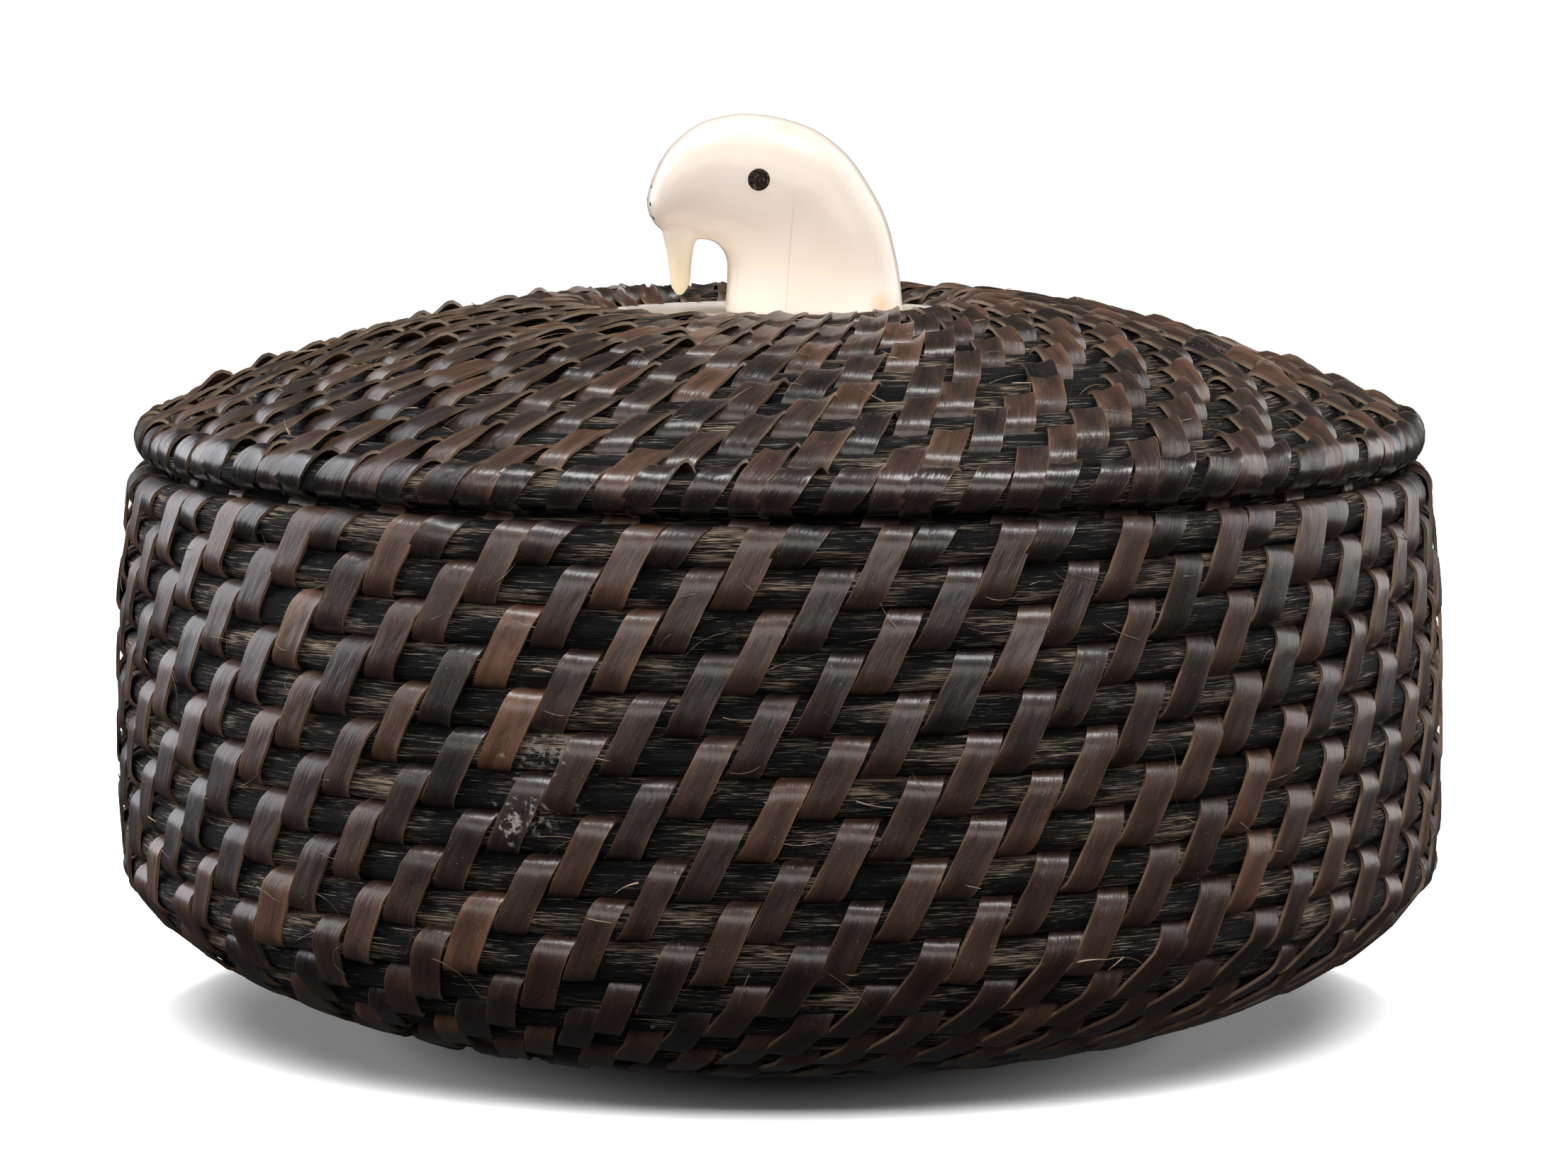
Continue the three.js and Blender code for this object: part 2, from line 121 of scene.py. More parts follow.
def addNode(tree, kind, settings=None, links=None, stops=()):
    # where a link names a node and not one of its outputs, it comes from the first output
    node = tree.nodes.new("ShaderNode" + kind)
    for name, value in (settings or {}).items():
        if isinstance(name, int) or name in node.inputs:
            node.inputs[name].default_value = value
        else:
            setattr(node, name, value)
    for name, source in (links or {}).items():
        tree.links.new(getattr(source, "outputs", [source])[0], node.inputs[name])
    for i, (position, code) in enumerate(stops):
        ramp = node.color_ramp.elements
        stop = ramp[i] if i < 2 else ramp.new(position)
        stop.position, stop.color = position, colour(code)
    return node


def newMaterial(name, settings):
    # settings are the numbers that are the same all over the surface
    material = bpy.data.materials.new(name)
    material.use_nodes = True
    shader = material.node_tree.nodes["Principled BSDF"]
    for socket, value in settings.items():
        shader.inputs[socket].default_value = value
    return material, material.node_tree, shader


crust = {"spot": (-17.6, -53.1, 29.4), "reach": 8, "tone": "#a09c94"}


def residue(tree, base):
    # a crust of dried whitish residue on the wall, seen in one place at the front
    spot = addNode(tree, "TexCoord").outputs["Object"]
    away = addNode(tree, "VectorMath", {"operation": "DISTANCE", 1: [v * mm for v in crust["spot"]]},
                   {0: spot})
    near = addNode(tree, "MapRange", {"From Min": crust["reach"] * mm, "From Max": 0.0, "To Min": -0.25,
                                      "To Max": 0.13}, {"Value": away.outputs["Value"]})
    patch = addNode(tree, "TexNoise", {"Scale": 330.0, "Detail": 2.0}, {"Vector": spot})
    inside = addNode(tree, "Math", {"operation": "ADD"}, {0: patch, 1: near})
    area = addNode(tree, "MapRange", {"From Min": 0.51, "From Max": 0.55}, {"Value": inside})
    vein = addNode(tree, "TexNoise", {"Scale": 1700.0, "Detail": 4.0, "Roughness": 0.65}, {"Vector": spot})
    line = addNode(tree, "MapRange", {"From Min": 0.5, "From Max": 0.6}, {"Value": vein})
    mask = addNode(tree, "Math", {"operation": "MULTIPLY"}, {0: area, 1: line})
    crusted = addNode(tree, "Mix", {"data_type": "RGBA", "B": colour(crust["tone"])},
                      {"Factor": mask, "A": base})
    return crusted.outputs["Result"]


def scrapedStrip(name, codes, gloss, shine, edgeTone):
    # baleen strip, split and scraped to 0.3 mm: satin horn, brown to black, with fine lengthwise grain and,
    # handled for years, a thin polish over it
    material, tree, shader = newMaterial(name, {"IOR": 1.5, "Coat Weight": shine, "Coat Roughness": 0.16})
    grain = addNode(tree, "Attribute", {"attribute_name": "grain"}).outputs["Vector"]
    across = addNode(tree, "Attribute", {"attribute_name": "across"}).outputs["Fac"]
    tint = addNode(tree, "Attribute", {"attribute_name": "tint"}).outputs["Fac"]
    spot = addNode(tree, "TexCoord").outputs["Object"]
    fine = addNode(tree, "Mapping", {"Scale": (5.5, 0.22, 1)}, {"Vector": grain})
    streak = addNode(tree, "TexNoise", {"Scale": 1.0, "Detail": 4.0, "Roughness": 0.6}, {"Vector": fine})
    broad = addNode(tree, "Mapping", {"Scale": (0.9, 0.3, 1)}, {"Vector": grain})
    cloud = addNode(tree, "TexNoise", {"Scale": 1.0, "Detail": 2.0}, {"Vector": broad})
    side = addNode(tree, "Math", {"operation": "ABSOLUTE"}, {0: across})
    paintedEdgeGlow = addNode(tree, "MapRange", {"From Min": 0.45, "From Max": 1.0, "To Min": -0.42, "To Max": -0.16},
                   {"Value": side})  # painted light: the tone is painted lighter towards both edges, as a glow of brown light through the thin edges
    mixed = addNode(tree, "Math", {"operation": "MULTIPLY_ADD", 1: 0.75}, {0: cloud, 2: paintedEdgeGlow})
    shade = addNode(tree, "Math", {"operation": "ADD"}, {0: tint, 1: mixed})
    horn = addNode(tree, "ValToRGB", links={"Fac": shade}, stops=codes)
    streaky = addNode(tree, "MapRange", {"From Min": 0.3, "From Max": 0.7, "To Min": 0.86, "To Max": 1.14},
                      {"Value": streak})
    grained = addNode(tree, "VectorMath", {"operation": "SCALE"}, {0: horn, "Scale": streaky})
    cut = addNode(tree, "MapRange", {"From Min": 0.95, "From Max": 1.03}, {"Value": side})
    worn = addNode(tree, "MapRange", {"From Min": 0.42, "From Max": 0.62, "To Min": 0.3, "To Max": 1.0},
                   {"Value": cloud})
    edge = addNode(tree, "Math", {"operation": "MULTIPLY"}, {0: cut, 1: worn})
    edged = addNode(tree, "Mix", {"data_type": "RGBA", "B": colour(edgeTone)}, {"Factor": edge, "A": grained})
    speck = addNode(tree, "TexNoise", {"Scale": 8000.0, "Detail": 1.0}, {"Vector": spot})
    dust = addNode(tree, "MapRange", {"From Min": 0.75, "From Max": 0.81}, {"Value": speck})
    dusty = addNode(tree, "Mix", {"data_type": "RGBA", "B": colour("#b8b2a8")},
                    {"Factor": dust, "A": edged.outputs["Result"]})
    tree.links.new(residue(tree, dusty.outputs["Result"]), shader.inputs["Base Color"])
    matte = addNode(tree, "MapRange", {"From Min": 0.3, "From Max": 0.7, "To Min": gloss,
                                       "To Max": gloss + 0.14}, {"Value": streak})
    patchy = addNode(tree, "Math", {"operation": "MULTIPLY_ADD", 1: 0.2}, {0: cloud, 2: matte})
    tree.links.new(patchy.outputs[0], shader.inputs["Roughness"])
    sway = addNode(tree, "Bump", {"Strength": 1.0, "Distance": 0.0001}, {"Height": cloud})
    bump = addNode(tree, "Bump", {"Strength": 0.6, "Distance": 0.00005}, {"Height": streak, "Normal": sway})
    tree.links.new(bump.outputs[0], shader.inputs["Normal"])
    tree.links.new(bump.outputs[0], shader.inputs["Coat Normal"])
    return material


def splitRod():
    # a split bundle of baleen fibre, dry and unpolished: near black, with fine pale lengthwise scratches and
    # bare patches; the open fibres swallow half of the gloss
    material, tree, shader = newMaterial("split baleen rod", {"IOR": 1.54, "Specular IOR Level": 0.16})
    straight = addNode(tree, "Attribute", {"attribute_name": "grain"}).outputs["Vector"]
    patterns = []
    for scale, detail, roughness in (
            ((0.12, 4.4, 4.4), 6.0, 0.7), ((0.36, 12.0, 12.0), 3.0, 0.65), ((0.12, 0.5, 0.5), 2.0, 0.5)):
        drawn = addNode(tree, "Mapping", {"Scale": scale}, {"Vector": straight})
        patterns.append(addNode(tree, "TexNoise", {"Scale": 1.0, "Detail": detail, "Roughness": roughness},
                                {"Vector": drawn}))
    fibre, scratch, patch = patterns
    reach = addNode(tree, "Math", {"operation": "MULTIPLY_ADD", 1: 0.5, 2: -0.25}, {0: patch})
    level = addNode(tree, "Math", {"operation": "ADD"}, {0: fibre, 1: reach})
    ramp = addNode(tree, "ValToRGB", links={"Fac": level}, stops=(
        (0.43, "#040404"), (0.515, "#0c0b0b"), (0.59, "#221e1b"), (0.67, "#4c4540"), (0.77, "#8f877d")))
    worn = addNode(tree, "Math", {"operation": "ADD"}, {0: scratch, 1: reach})
    line = addNode(tree, "MapRange", {"From Min": 0.565, "From Max": 0.67, "To Max": 0.85}, {"Value": worn})
    bare = addNode(tree, "ValToRGB", links={"Fac": patch}, stops=((0.45, "#9b958e"), (0.62, "#ac9a84")))
    scratched = addNode(tree, "Mix", {"data_type": "RGBA"}, {"Factor": line, "A": ramp, "B": bare})
    tree.links.new(residue(tree, scratched.outputs["Result"]), shader.inputs["Base Color"])
    matte = addNode(tree, "MapRange", {"From Min": 0.3, "From Max": 0.7, "To Min": 0.45, "To Max": 0.8},
                    {"Value": fibre})
    tree.links.new(matte.outputs[0], shader.inputs["Roughness"])
    rough = addNode(tree, "Math", {"operation": "ADD"}, {0: fibre, 1: scratch})
    bump = addNode(tree, "Bump", {"Strength": 1.0, "Distance": 0.00025}, {"Height": rough})
    tree.links.new(bump.outputs[0], shader.inputs["Normal"])
    return material


# where the ivory has aged, in mm; each stain is a place, a reach, a tone and a strength
ageing = {"tusks": (-8.6, 0, 64.8), "tuskFade": (6, 2),
          "crack": -3.85, "crackLean": 0.075, "crackTop": (73.2, 71), "crackHalf": (0.09, 0.03),
          "crackWander": 0.6,
          "stains": (((0.6, -2.8, 78.0), 1.3, "#d9bd93", 0.5), ((8.9, -3.9, 62.9), 1.5, "#dcb573", 0.6))}


def polishedIvory():
    # walrus ivory, carved and polished: warm white, a little translucent
    material, tree, shader = newMaterial("polished ivory", {
        "Roughness": 0.2, "IOR": 1.5, "Specular IOR Level": 0.35, "Subsurface Weight": 0.25,
        "Subsurface Radius": (1.0, 0.6, 0.4), "Subsurface Scale": 0.003})
    spot = addNode(tree, "TexCoord").outputs["Object"]
    cloud = addNode(tree, "TexNoise", {"Scale": 90.0, "Detail": 3.0}, {"Vector": spot})
    ramp = addNode(tree, "ValToRGB", links={"Fac": cloud}, stops=((0.3, "#e9ddd0"), (0.65, "#f1e7dd")))
    away = addNode(tree, "VectorMath", {"operation": "DISTANCE", 1: [v * mm for v in ageing["tusks"]]},
                   {0: spot})
    start, end = ageing["tuskFade"]
    yellow = addNode(tree, "MapRange", {"From Min": start * mm, "From Max": end * mm, "To Max": 0.8},
                     {"Value": away.outputs["Value"]})
    tusk = addNode(tree, "Mix", {"data_type": "RGBA", "B": colour("#e4d5b2")}, {"Factor": yellow, "A": ramp})
    across = addNode(tree, "VectorMath", {"operation": "DOT_PRODUCT", 1: (1, 0, -ageing["crackLean"])},
                     {0: spot})
    wander = addNode(tree, "Math", {"operation": "MULTIPLY_ADD", 1: ageing["crackWander"] * mm,
                                    2: -ageing["crack"] * mm}, {0: cloud})
    offLine = addNode(tree, "Math", {"operation": "ADD"}, {0: across.outputs["Value"], 1: wander})
    away = addNode(tree, "Math", {"operation": "ABSOLUTE"}, {0: offLine})
    start, end = ageing["crackHalf"]
    crack = addNode(tree, "MapRange", {"From Min": start * mm, "From Max": end * mm, "To Max": 0.3},
                    {"Value": away})
    height = addNode(tree, "SeparateXYZ", links={"Vector": spot})
    start, end = ageing["crackTop"]
    lowEnough = addNode(tree, "MapRange", {"From Min": start * mm, "From Max": end * mm},
                        {"Value": height.outputs["Z"]})
    drawn = addNode(tree, "Math", {"operation": "MULTIPLY"}, {0: crack, 1: lowEnough})
    tone = addNode(tree, "Mix", {"data_type": "RGBA", "B": colour("#cfae84")},
                   {"Factor": drawn, "A": tusk.outputs["Result"]}).outputs["Result"]
    for middle, reach, code, strength in ageing["stains"]:
        away = addNode(tree, "VectorMath", {"operation": "DISTANCE", 1: [v * mm for v in middle]}, {0: spot})
        stain = addNode(tree, "MapRange", {"From Min": reach * mm, "From Max": 0.0, "To Max": strength},
                        {"Value": away.outputs["Value"]})
        tone = addNode(tree, "Mix", {"data_type": "RGBA", "B": colour(code)},
                       {"Factor": stain, "A": tone}).outputs["Result"]
    tree.links.new(tone, shader.inputs["Base Color"])
    return material


def darkInlay():
    # a plug of baleen cut across the grain: brown rim, black pitted middle, dry end grain with little gloss
    material, tree, shader = newMaterial("baleen inlay", {"Roughness": 0.6, "Specular IOR Level": 0.2})
    spot = addNode(tree, "TexCoord").outputs["Object"]
    pit = addNode(tree, "TexNoise", {"Scale": 4500.0, "Detail": 3.0}, {"Vector": spot})
    ramp = addNode(tree, "ValToRGB", links={"Fac": pit}, stops=(
        (0.42, "#0c0807"), (0.55, "#24150e"), (0.68, "#7a5340")))
    tree.links.new(ramp.outputs[0], shader.inputs["Base Color"])
    bump = addNode(tree, "Bump", {"Strength": 1.0, "Distance": 0.0002}, {"Height": pit})
    tree.links.new(bump.outputs[0], shader.inputs["Normal"])
    return material


def frayedFibre():
    # loose hairs of the plate's edge, dry and pale
    material, tree, shader = newMaterial("frayed baleen fibre", {"Roughness": 0.6, "IOR": 1.54})
    spot = addNode(tree, "TexCoord").outputs["Object"]
    shade = addNode(tree, "TexNoise", {"Scale": 700.0, "Detail": 2.0}, {"Vector": spot})
    ramp = addNode(tree, "ValToRGB", links={"Fac": shade}, stops=((0.35, "#4a3a2e"), (0.6, "#a8937c")))
    tree.links.new(ramp.outputs[0], shader.inputs["Base Color"])
    return material


def dowelWood():
    # birch dowel, turned and left bare: pale, dull, with straight grain
    material, tree, shader = newMaterial("birch dowel", {"Roughness": 0.6})
    spot = addNode(tree, "TexCoord").outputs["Object"]
    fine = addNode(tree, "Mapping", {"Scale": (1500, 1500, 90)}, {"Vector": spot})
    grain = addNode(tree, "TexNoise", {"Scale": 1.0, "Detail": 3.0}, {"Vector": fine})
    ramp = addNode(tree, "ValToRGB", links={"Fac": grain}, stops=((0.3, "#a98254"), (0.7, "#c9a878")))
    tree.links.new(ramp.outputs[0], shader.inputs["Base Color"])
    return material


# painted light and shade: lit and shaded copies of one baleen. The wall's and the lid rim's strips take tones
# painted lighter, and the rest of the lid's strips take tones painted darker, to even out the stronger light
# on the lid
stripTonesPaintedLighter = ((0.0, "#191514"), (0.25, "#291f1c"), (0.6, "#402e27"), (0.85, "#513a2d"), (1.0, "#684a39"))
lidTonesPaintedDarker = ((0.0, "#141110"), (0.25, "#201916"), (0.55, "#33261f"), (0.8, "#483328"), (1.0, "#5d4334"))
stripLook = scrapedStrip("scraped baleen strip", stripTonesPaintedLighter, 0.23, 0.3, "#967f6a")
lidStripLook = scrapedStrip("scraped lid baleen strip painted darker", lidTonesPaintedDarker, 0.21, 0.35, "#978572")
rimLook = scrapedStrip("polished baleen strip", stripTonesPaintedLighter, 0.17, 0.5, "#978572")
rodLook = splitRod()
ivoryLook = polishedIvory()
inlayLook = darkInlay()
woodLook = dowelWood()
fibreLook = frayedFibre()
print("materials made")


# The rows of rod, as (radius, height) of their centres, from the disc outwards


def spacedRows(points, count):
    reach = np.concatenate([[0], np.cumsum(np.linalg.norm(np.diff(points, axis=0), axis=1))])
    return np.stack([np.interp(np.linspace(0, reach[-1], count), reach, points[:, i]) for i in (0, 1)], 1)


share = np.linspace(0, 1, 81)
outward = np.sin(share * math.pi / 2)
raised = 1 - (1 - outward ** body["dish"]) ** body["corner"]
baseCurve = np.stack([rod["firstRow"] + (body["foot"] - rod["firstRow"]) * outward,
                      body["lift"] + (body["footHeight"] - body["lift"]) * raised], 1)
wallHeights = np.linspace(body["footHeight"], body["rimHeight"], body["wallRows"] + 1)[1:]
offBelly = wallHeights - body["bellyHeight"]
towardsRim = (body["belly"] - body["rim"]) * (offBelly / (body["rimHeight"] - body["bellyHeight"])) ** 2
towardsFoot = (body["belly"] - body["foot"]) * (offBelly / (body["bellyHeight"] - body["footHeight"])) ** 2
drawIn = np.where(offBelly > 0, towardsRim, towardsFoot)
wallRows = np.stack([body["belly"] - drawIn, wallHeights], 1)
bodyRows = np.concatenate([spacedRows(baseCurve, body["baseRows"]), wallRows])
lidCurve = np.stack([rod["firstRow"] + (lid["rim"] - rod["firstRow"]) * share,
                     lid["rimHeight"] + lid["rise"] * (1 - share ** lid["dome"])], 1)
lidRows = spacedRows(lidCurve, lid["rows"])
flangeRows = np.array([[flange["radius"], flange["top"] - rod["pitch"]], [flange["radius"], flange["top"]]])
bodyCoil, lidCoil, flangeCoil = (bodyRows, 1), (lidRows, -1), (flangeRows, 1)  # 1 or -1: which side is out
foot, lastBody, lastLid = body["baseRows"] - 1, len(bodyRows) - 1, len(lidRows) - 1


def ease(part):
    part = np.clip(part, 0, 1)
    return part * part * (3 - 2 * part)


def fadeIn(x, start, end):
    return ease((x - start) / (end - start))


def fadeBoth(x, start, end):
    return fadeIn(x, start, end) * fadeIn(1 - x, start, end)


def bell(x, middle, spread):
    return np.exp(-((x - middle) / spread) ** 2)


def climbAt(turns):
    return ease((turns - np.floor(turns) - 1 + rod["climb"]) / rod["climb"])


def centreOf(rows, row):
    low = np.clip(np.floor(row).astype(int), 0, len(rows) - 2)
    part = (row - low)[..., None]
    return rows[low] * (1 - part) + rows[low + 1] * part


def coilFrame(coil, turns):
    # a coil's centre at these turns, with the ways along its rows and out of them
    rows, outer = coil
    last = len(rows) - 1
    row = np.clip(np.floor(turns) + climbAt(turns), 0, last)
    along = centreOf(rows, np.minimum(row + 0.5, last)) - centreOf(rows, np.maximum(row - 0.5, 0))
    along /= np.linalg.norm(along, axis=-1, keepdims=True)
    out = np.stack([along[..., 1], -along[..., 0]], -1) * outer
    steps = np.linalg.norm(np.diff(rows, axis=0), axis=1)
    wider = np.maximum(np.append(steps, steps[-1]), np.append(steps[0], steps))
    flatter = np.maximum(np.interp(row, np.arange(last + 1), wider) / rod["pitch"], 1)
    return centreOf(rows, row), along * flatter[..., None], out  # rods are split flatter where rows are wide


# the rows round the lid's disc have sunk a little on the front left
sunk = {"deep": 0.55, "toward": math.radians(228), "narrow": 3, "start": (16.4, 18.3), "end": (34, 25),
        "above": (50, 56)}


def revolve(points, turns):
    angle = rod["startAngle"] + turns * fullTurn
    radius, height = points[..., 0], points[..., 1]
    near = fadeIn(radius, *sunk["start"]) * fadeIn(radius, *sunk["end"]) * fadeIn(height, *sunk["above"])
    facing = (0.5 + 0.5 * np.cos(angle - sunk["toward"])) ** sunk["narrow"]
    lowered = height - sunk["deep"] * near * facing
    return np.stack([radius * np.cos(angle), radius * np.sin(angle), lowered], -1)


def ribbonMesh(name, tubes, values):
    # closes each tube of rings and keeps its values, such as the grain, on the points
    points, faces, start = [], [], 0
    for rings in tubes:
        count, sides = rings.shape[:2]
        index = start + np.arange(count * sides).reshape(count, sides)
        turned = np.roll(index, -1, axis=1)
        faces += np.stack([index[:-1], turned[:-1], turned[1:], index[1:]], -1).reshape(-1, 4).tolist()
        faces += [index[0, ::-1].tolist(), index[-1].tolist()]
        points.append(rings.reshape(-1, 3))
        start += count * sides
    points = np.concatenate(points) * mm
    a, b, c = (points[[face[i] for face in faces]] for i in (0, 1, 2))
    if np.einsum("ij,ij->i", a, np.cross(b, c)).sum() < 0:
        faces = [face[::-1] for face in faces]
    mesh = bpy.data.meshes.new(name)
    mesh.from_pydata(points.tolist(), [], faces)
    for key, kept in values.items():
        isGrain = key == "grain"
        flat = np.concatenate([v.reshape(-1, v.shape[-1]) if isGrain else v.reshape(-1) for v in kept])
        layer = mesh.attributes.new(key, "FLOAT_VECTOR" if isGrain else "FLOAT", "POINT")
        layer.data.foreach_set("vector" if isGrain else "value", flat.astype(np.float32).ravel())
    piece = bpy.data.objects.new(name, mesh)
    bpy.context.scene.collection.objects.link(piece)
    return piece


# Rods

rodSize = {"sides": 26, "stepsPerTurn": 120, "splice": 0.3, "thinEnd": 0.18, "gap": 0.5,
           "wave": 0.045, "waves": ((0.31, 1, 0.4), (0.83, 2, 1.9), (0.47, 3, 4.2), (1.7, 1, 2.2)),
           "ridge": 0.05, "ridgeRun": 9, "closer": 1.09, "shut": 1.28, "grainStep": 37}


def rodPiece(name, coil, firstRow, lastRow):
    last = len(coil[0]) - 1
    end = last + 1 - rod["climb"]
    first = -rod["climb"] if firstRow == 0 else firstRow
    spliceTurn = rodSize["splice"] / (fullTurn * coil[0][lastRow][0])
    stop = end + rod["climb"] if lastRow == last else lastRow + 1 - spliceTurn
    turns = np.linspace(first, stop, int((stop - first) * rodSize["stepsPerTurn"]))
    centre, along, out = coilFrame(coil, np.clip(turns, 0, end))
    # the coil's two ends thin out where the next row closes in on them
    radius = np.full(len(turns), rod["radius"])
    before, past = turns < 0, turns > end
    room = np.where(before, climbAt(turns), 1 - climbAt(turns))
    thin = np.minimum((rod["pitch"] * room - rodSize["gap"]) / 2, rod["radius"])
    radius[before | past] = thin[before | past]
    kept = radius > rodSize["thinEnd"]
    shift = np.where(before, -1, np.where(past, 1, 0)) * (rod["radius"] - radius)
    centre = centre + along * shift[:, None]
    turns, centre, along, out, radius = turns[kept], centre[kept], along[kept], out[kept], radius[kept]
    length = np.concatenate([[0], np.cumsum(np.diff(turns) * fullTurn * centre[1:, 0])])
    length = length + firstRow * rodSize["grainStep"]  # so that no two pieces have the same grain
    corner = np.arange(rodSize["sides"]) / rodSize["sides"] * fullTurn
    bumps = sum(np.sin(length[:, None] * k + corner[None] * m + p) for k, m, p in rodSize["waves"])
    knots = np.arange(0, length[-1] - length[0] + 2 * rodSize["ridgeRun"], rodSize["ridgeRun"])
    ridges = chance.normal(0, rodSize["ridge"], (len(knots), rodSize["sides"]))
    ridges = np.stack([np.interp(length - length[0], knots, side) for side in ridges.T], 1)
    spread = radius[:, None] + np.minimum(radius[:, None], 1) * (rodSize["wave"] * bumps / 2 + ridges)
    closer = np.full(spread.shape, rodSize["closer"])
    if coil is flangeCoil:  # its two rounds touch, or light would shine between them
        closer[(turns[:, None] < 1) == (np.sin(corner)[None] > 0)] = rodSize["shut"]
    cut = (centre[:, None] + out[:, None] * (spread * np.cos(corner))[..., None]
           + along[:, None] * (spread * closer * np.sin(corner))[..., None])
    grain = np.stack([np.repeat(length[:, None], len(corner), 1), np.cos(corner) * spread,
                      np.sin(corner) * spread], -1)
    return smooth(ribbonMesh(name, [revolve(cut, turns[:, None])], {"grain": [grain]}), 24)


rods = (("basket", bodyCoil, "base_rod_inner", 0, 5), ("basket", bodyCoil, "base_rod_outer", 6, 10),
        ("basket", bodyCoil, "wall_rod_lower", 11, 14), ("basket", bodyCoil, "wall_rod_middle", 15, 17),
        ("basket", bodyCoil, "wall_rod_rim", 18, 21), ("lid", lidCoil, "lid_rod_inner", 0, 6),
        ("lid", lidCoil, "lid_rod_outer", 7, 12), ("lid", flangeCoil, "flange_rod", 0, 1))
for bodyName, coil, node, firstRow, lastRow in rods:
    place(rodPiece("split_" + node, coil, firstRow, lastRow), bodyName, rodLook, [node])
print("rods wound")


# Lashing strips. A strip goes round the rod of its own row and the next rod inwards, once a stitch,
# and is wound here as a flat band is: its line is laid out flat, then rolled round the two rods

strip = {"width": 2.5, "thickness": 0.3, "seat": 0.02, "lean": math.radians(25.6), "sideGap": 0.1,
         "jitter": 0.18, "ragged": 0.014, "uneven": 0.06, "lowest": 0.02, "evenSteps": 4, "even": 0.3}
widest = 57.6  # nothing stands further out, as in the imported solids
outerMarks = [-1, -0.62, 0, 0.62, 1]  # places across the outer face
acrossMarks = np.array(outerMarks + [1, 0, -1])
acrossSigns = np.array([1] * 5 + [-1] * 3)  # outer face, then inner face
acrossShown = np.array(outerMarks + [1.05, 0, -1.05])  # past 1 is the cut edge
faceMarks = [0.0, 0.09, 0.16, 0.22, 0.28, 0.34, 0.45, 0.55, 0.66, 0.72, 0.78, 0.84, 0.91]
backMarks = [0.0, 0.12, 0.24, 0.36, 0.5, 0.64, 0.76, 0.88]


def stripLegs(seat, span, slope, shorts):
    # one stitch as legs: how far, how it turns round the rods, and where it starts and ends sideways
    quarter = seat * math.pi / 2
    long = 2 * quarter + span
    reach = slope * long / 2
    legs = [{"length": long, "face": True, "bends": [(quarter, 90, 0), (span, 0, 1), (quarter, 90, 0)],
             "side": (-reach, reach), "next": (0, 0)}]
    for offset, onNext in shorts:
        side = (offset - 1.5 * slope * quarter, offset + 1.5 * slope * quarter)
        legs.append({"length": 2 * quarter, "face": False, "bends": [(2 * quarter, 180, 0)]})
        legs.append({"length": 2 * quarter, "face": True, "bends": [(2 * quarter, 180, 0)],
                     "side": side, "next": (onNext, onNext)})
    legs.append({"length": long, "face": False, "bends": [(quarter, 90, 0), (span, 0, -1), (quarter, 90, 0)]})
    for i, leg in enumerate(legs):
        if not leg["face"]:
            ahead = legs[i + 1] if i + 1 < len(legs) else None
            leg["side"] = (legs[i - 1]["side"][1], ahead["side"][0] if ahead else -reach)
            leg["next"] = (legs[i - 1]["next"][1], ahead["next"][0] if ahead else 1)
    return legs


def stitchLine(legs):
    # knots of the whole stitch: how far, turn round the rod, share of the way to the outer rod
    far, turned, outward = [0.0], [-90.0], [0.0]
    for leg in legs:
        for length, bend, step in leg["bends"]:
            far.append(far[-1] + length)
            turned.append(turned[-1] + bend)
            outward.append(outward[-1] + step)
    # stations along it: how far, sideways, share of the way to the next stitch, share of the leg, face, leg
    stations = []
    start = 0.0
    for number, leg in enumerate(legs):
        for mark in (faceMarks if leg["face"] else backMarks):
            side = leg["side"][0] + (leg["side"][1] - leg["side"][0]) * mark
            nextShare = leg["next"][0] + (leg["next"][1] - leg["next"][0]) * mark
            stations.append((start + leg["length"] * mark, side, nextShare, mark, leg["face"], number))
        start += leg["length"]
    return (far, turned, outward), [np.array(v, float) for v in zip(*stations)]


def stripLifts(curl, vary, part):
    # how far the face stands off its seat: crowned, curled up at its sides, bowed, rolled and wavy
    window = fadeBoth(part, 0.04, 0.2)
    right, left = np.maximum(acrossMarks, 0), np.maximum(-acrossMarks, 0)
    rightCurl = np.maximum(curl["right"] * (1 + curl["vary"] * vary[2]), 0)
    leftCurl = np.maximum(curl["left"] * (1 + curl["vary"] * vary[3]), 0)
    return (curl["camber"] * (1 + 0.5 * vary[1]) * (1 - acrossMarks ** 2) * window
            + rightCurl * bell(part, curl["rightAt"], curl["spread"]) * right ** 1.7 * window
            + leftCurl * bell(part, curl["leftAt"], curl["spread"]) * left ** 1.7 * window
            + (np.abs(vary[4]) * curl["bow"] + curl["arch"]) * bell(part, 0.5, 0.26)
            + vary[5] * curl["roll"] * acrossMarks * window
            + vary[6] * curl["wave"] * np.sin(fullTurn * part + vary[7]) * window)


def stripTints(count, legs, shorts):
    # stitches of one strip share its tone, two to eight in a lot; the short wraps of a rim are dark
    lots = count // 5 + 2
    lot = np.resize(np.repeat(chance.uniform(0, 1, lots), chance.integers(2, 9, lots)), count)
    tint = np.clip(0.6 * lot + 0.4 * chance.uniform(0, 1, count), 0, 1)
    tint = np.repeat(tint[:, None], len(legs), 1)
    if shorts:
        tint[:, 0] = 0.35 + 0.5 * tint[:, 0]
        tint[:, 1:] = chance.uniform(0, 0.3, (count, 1))
    return tint


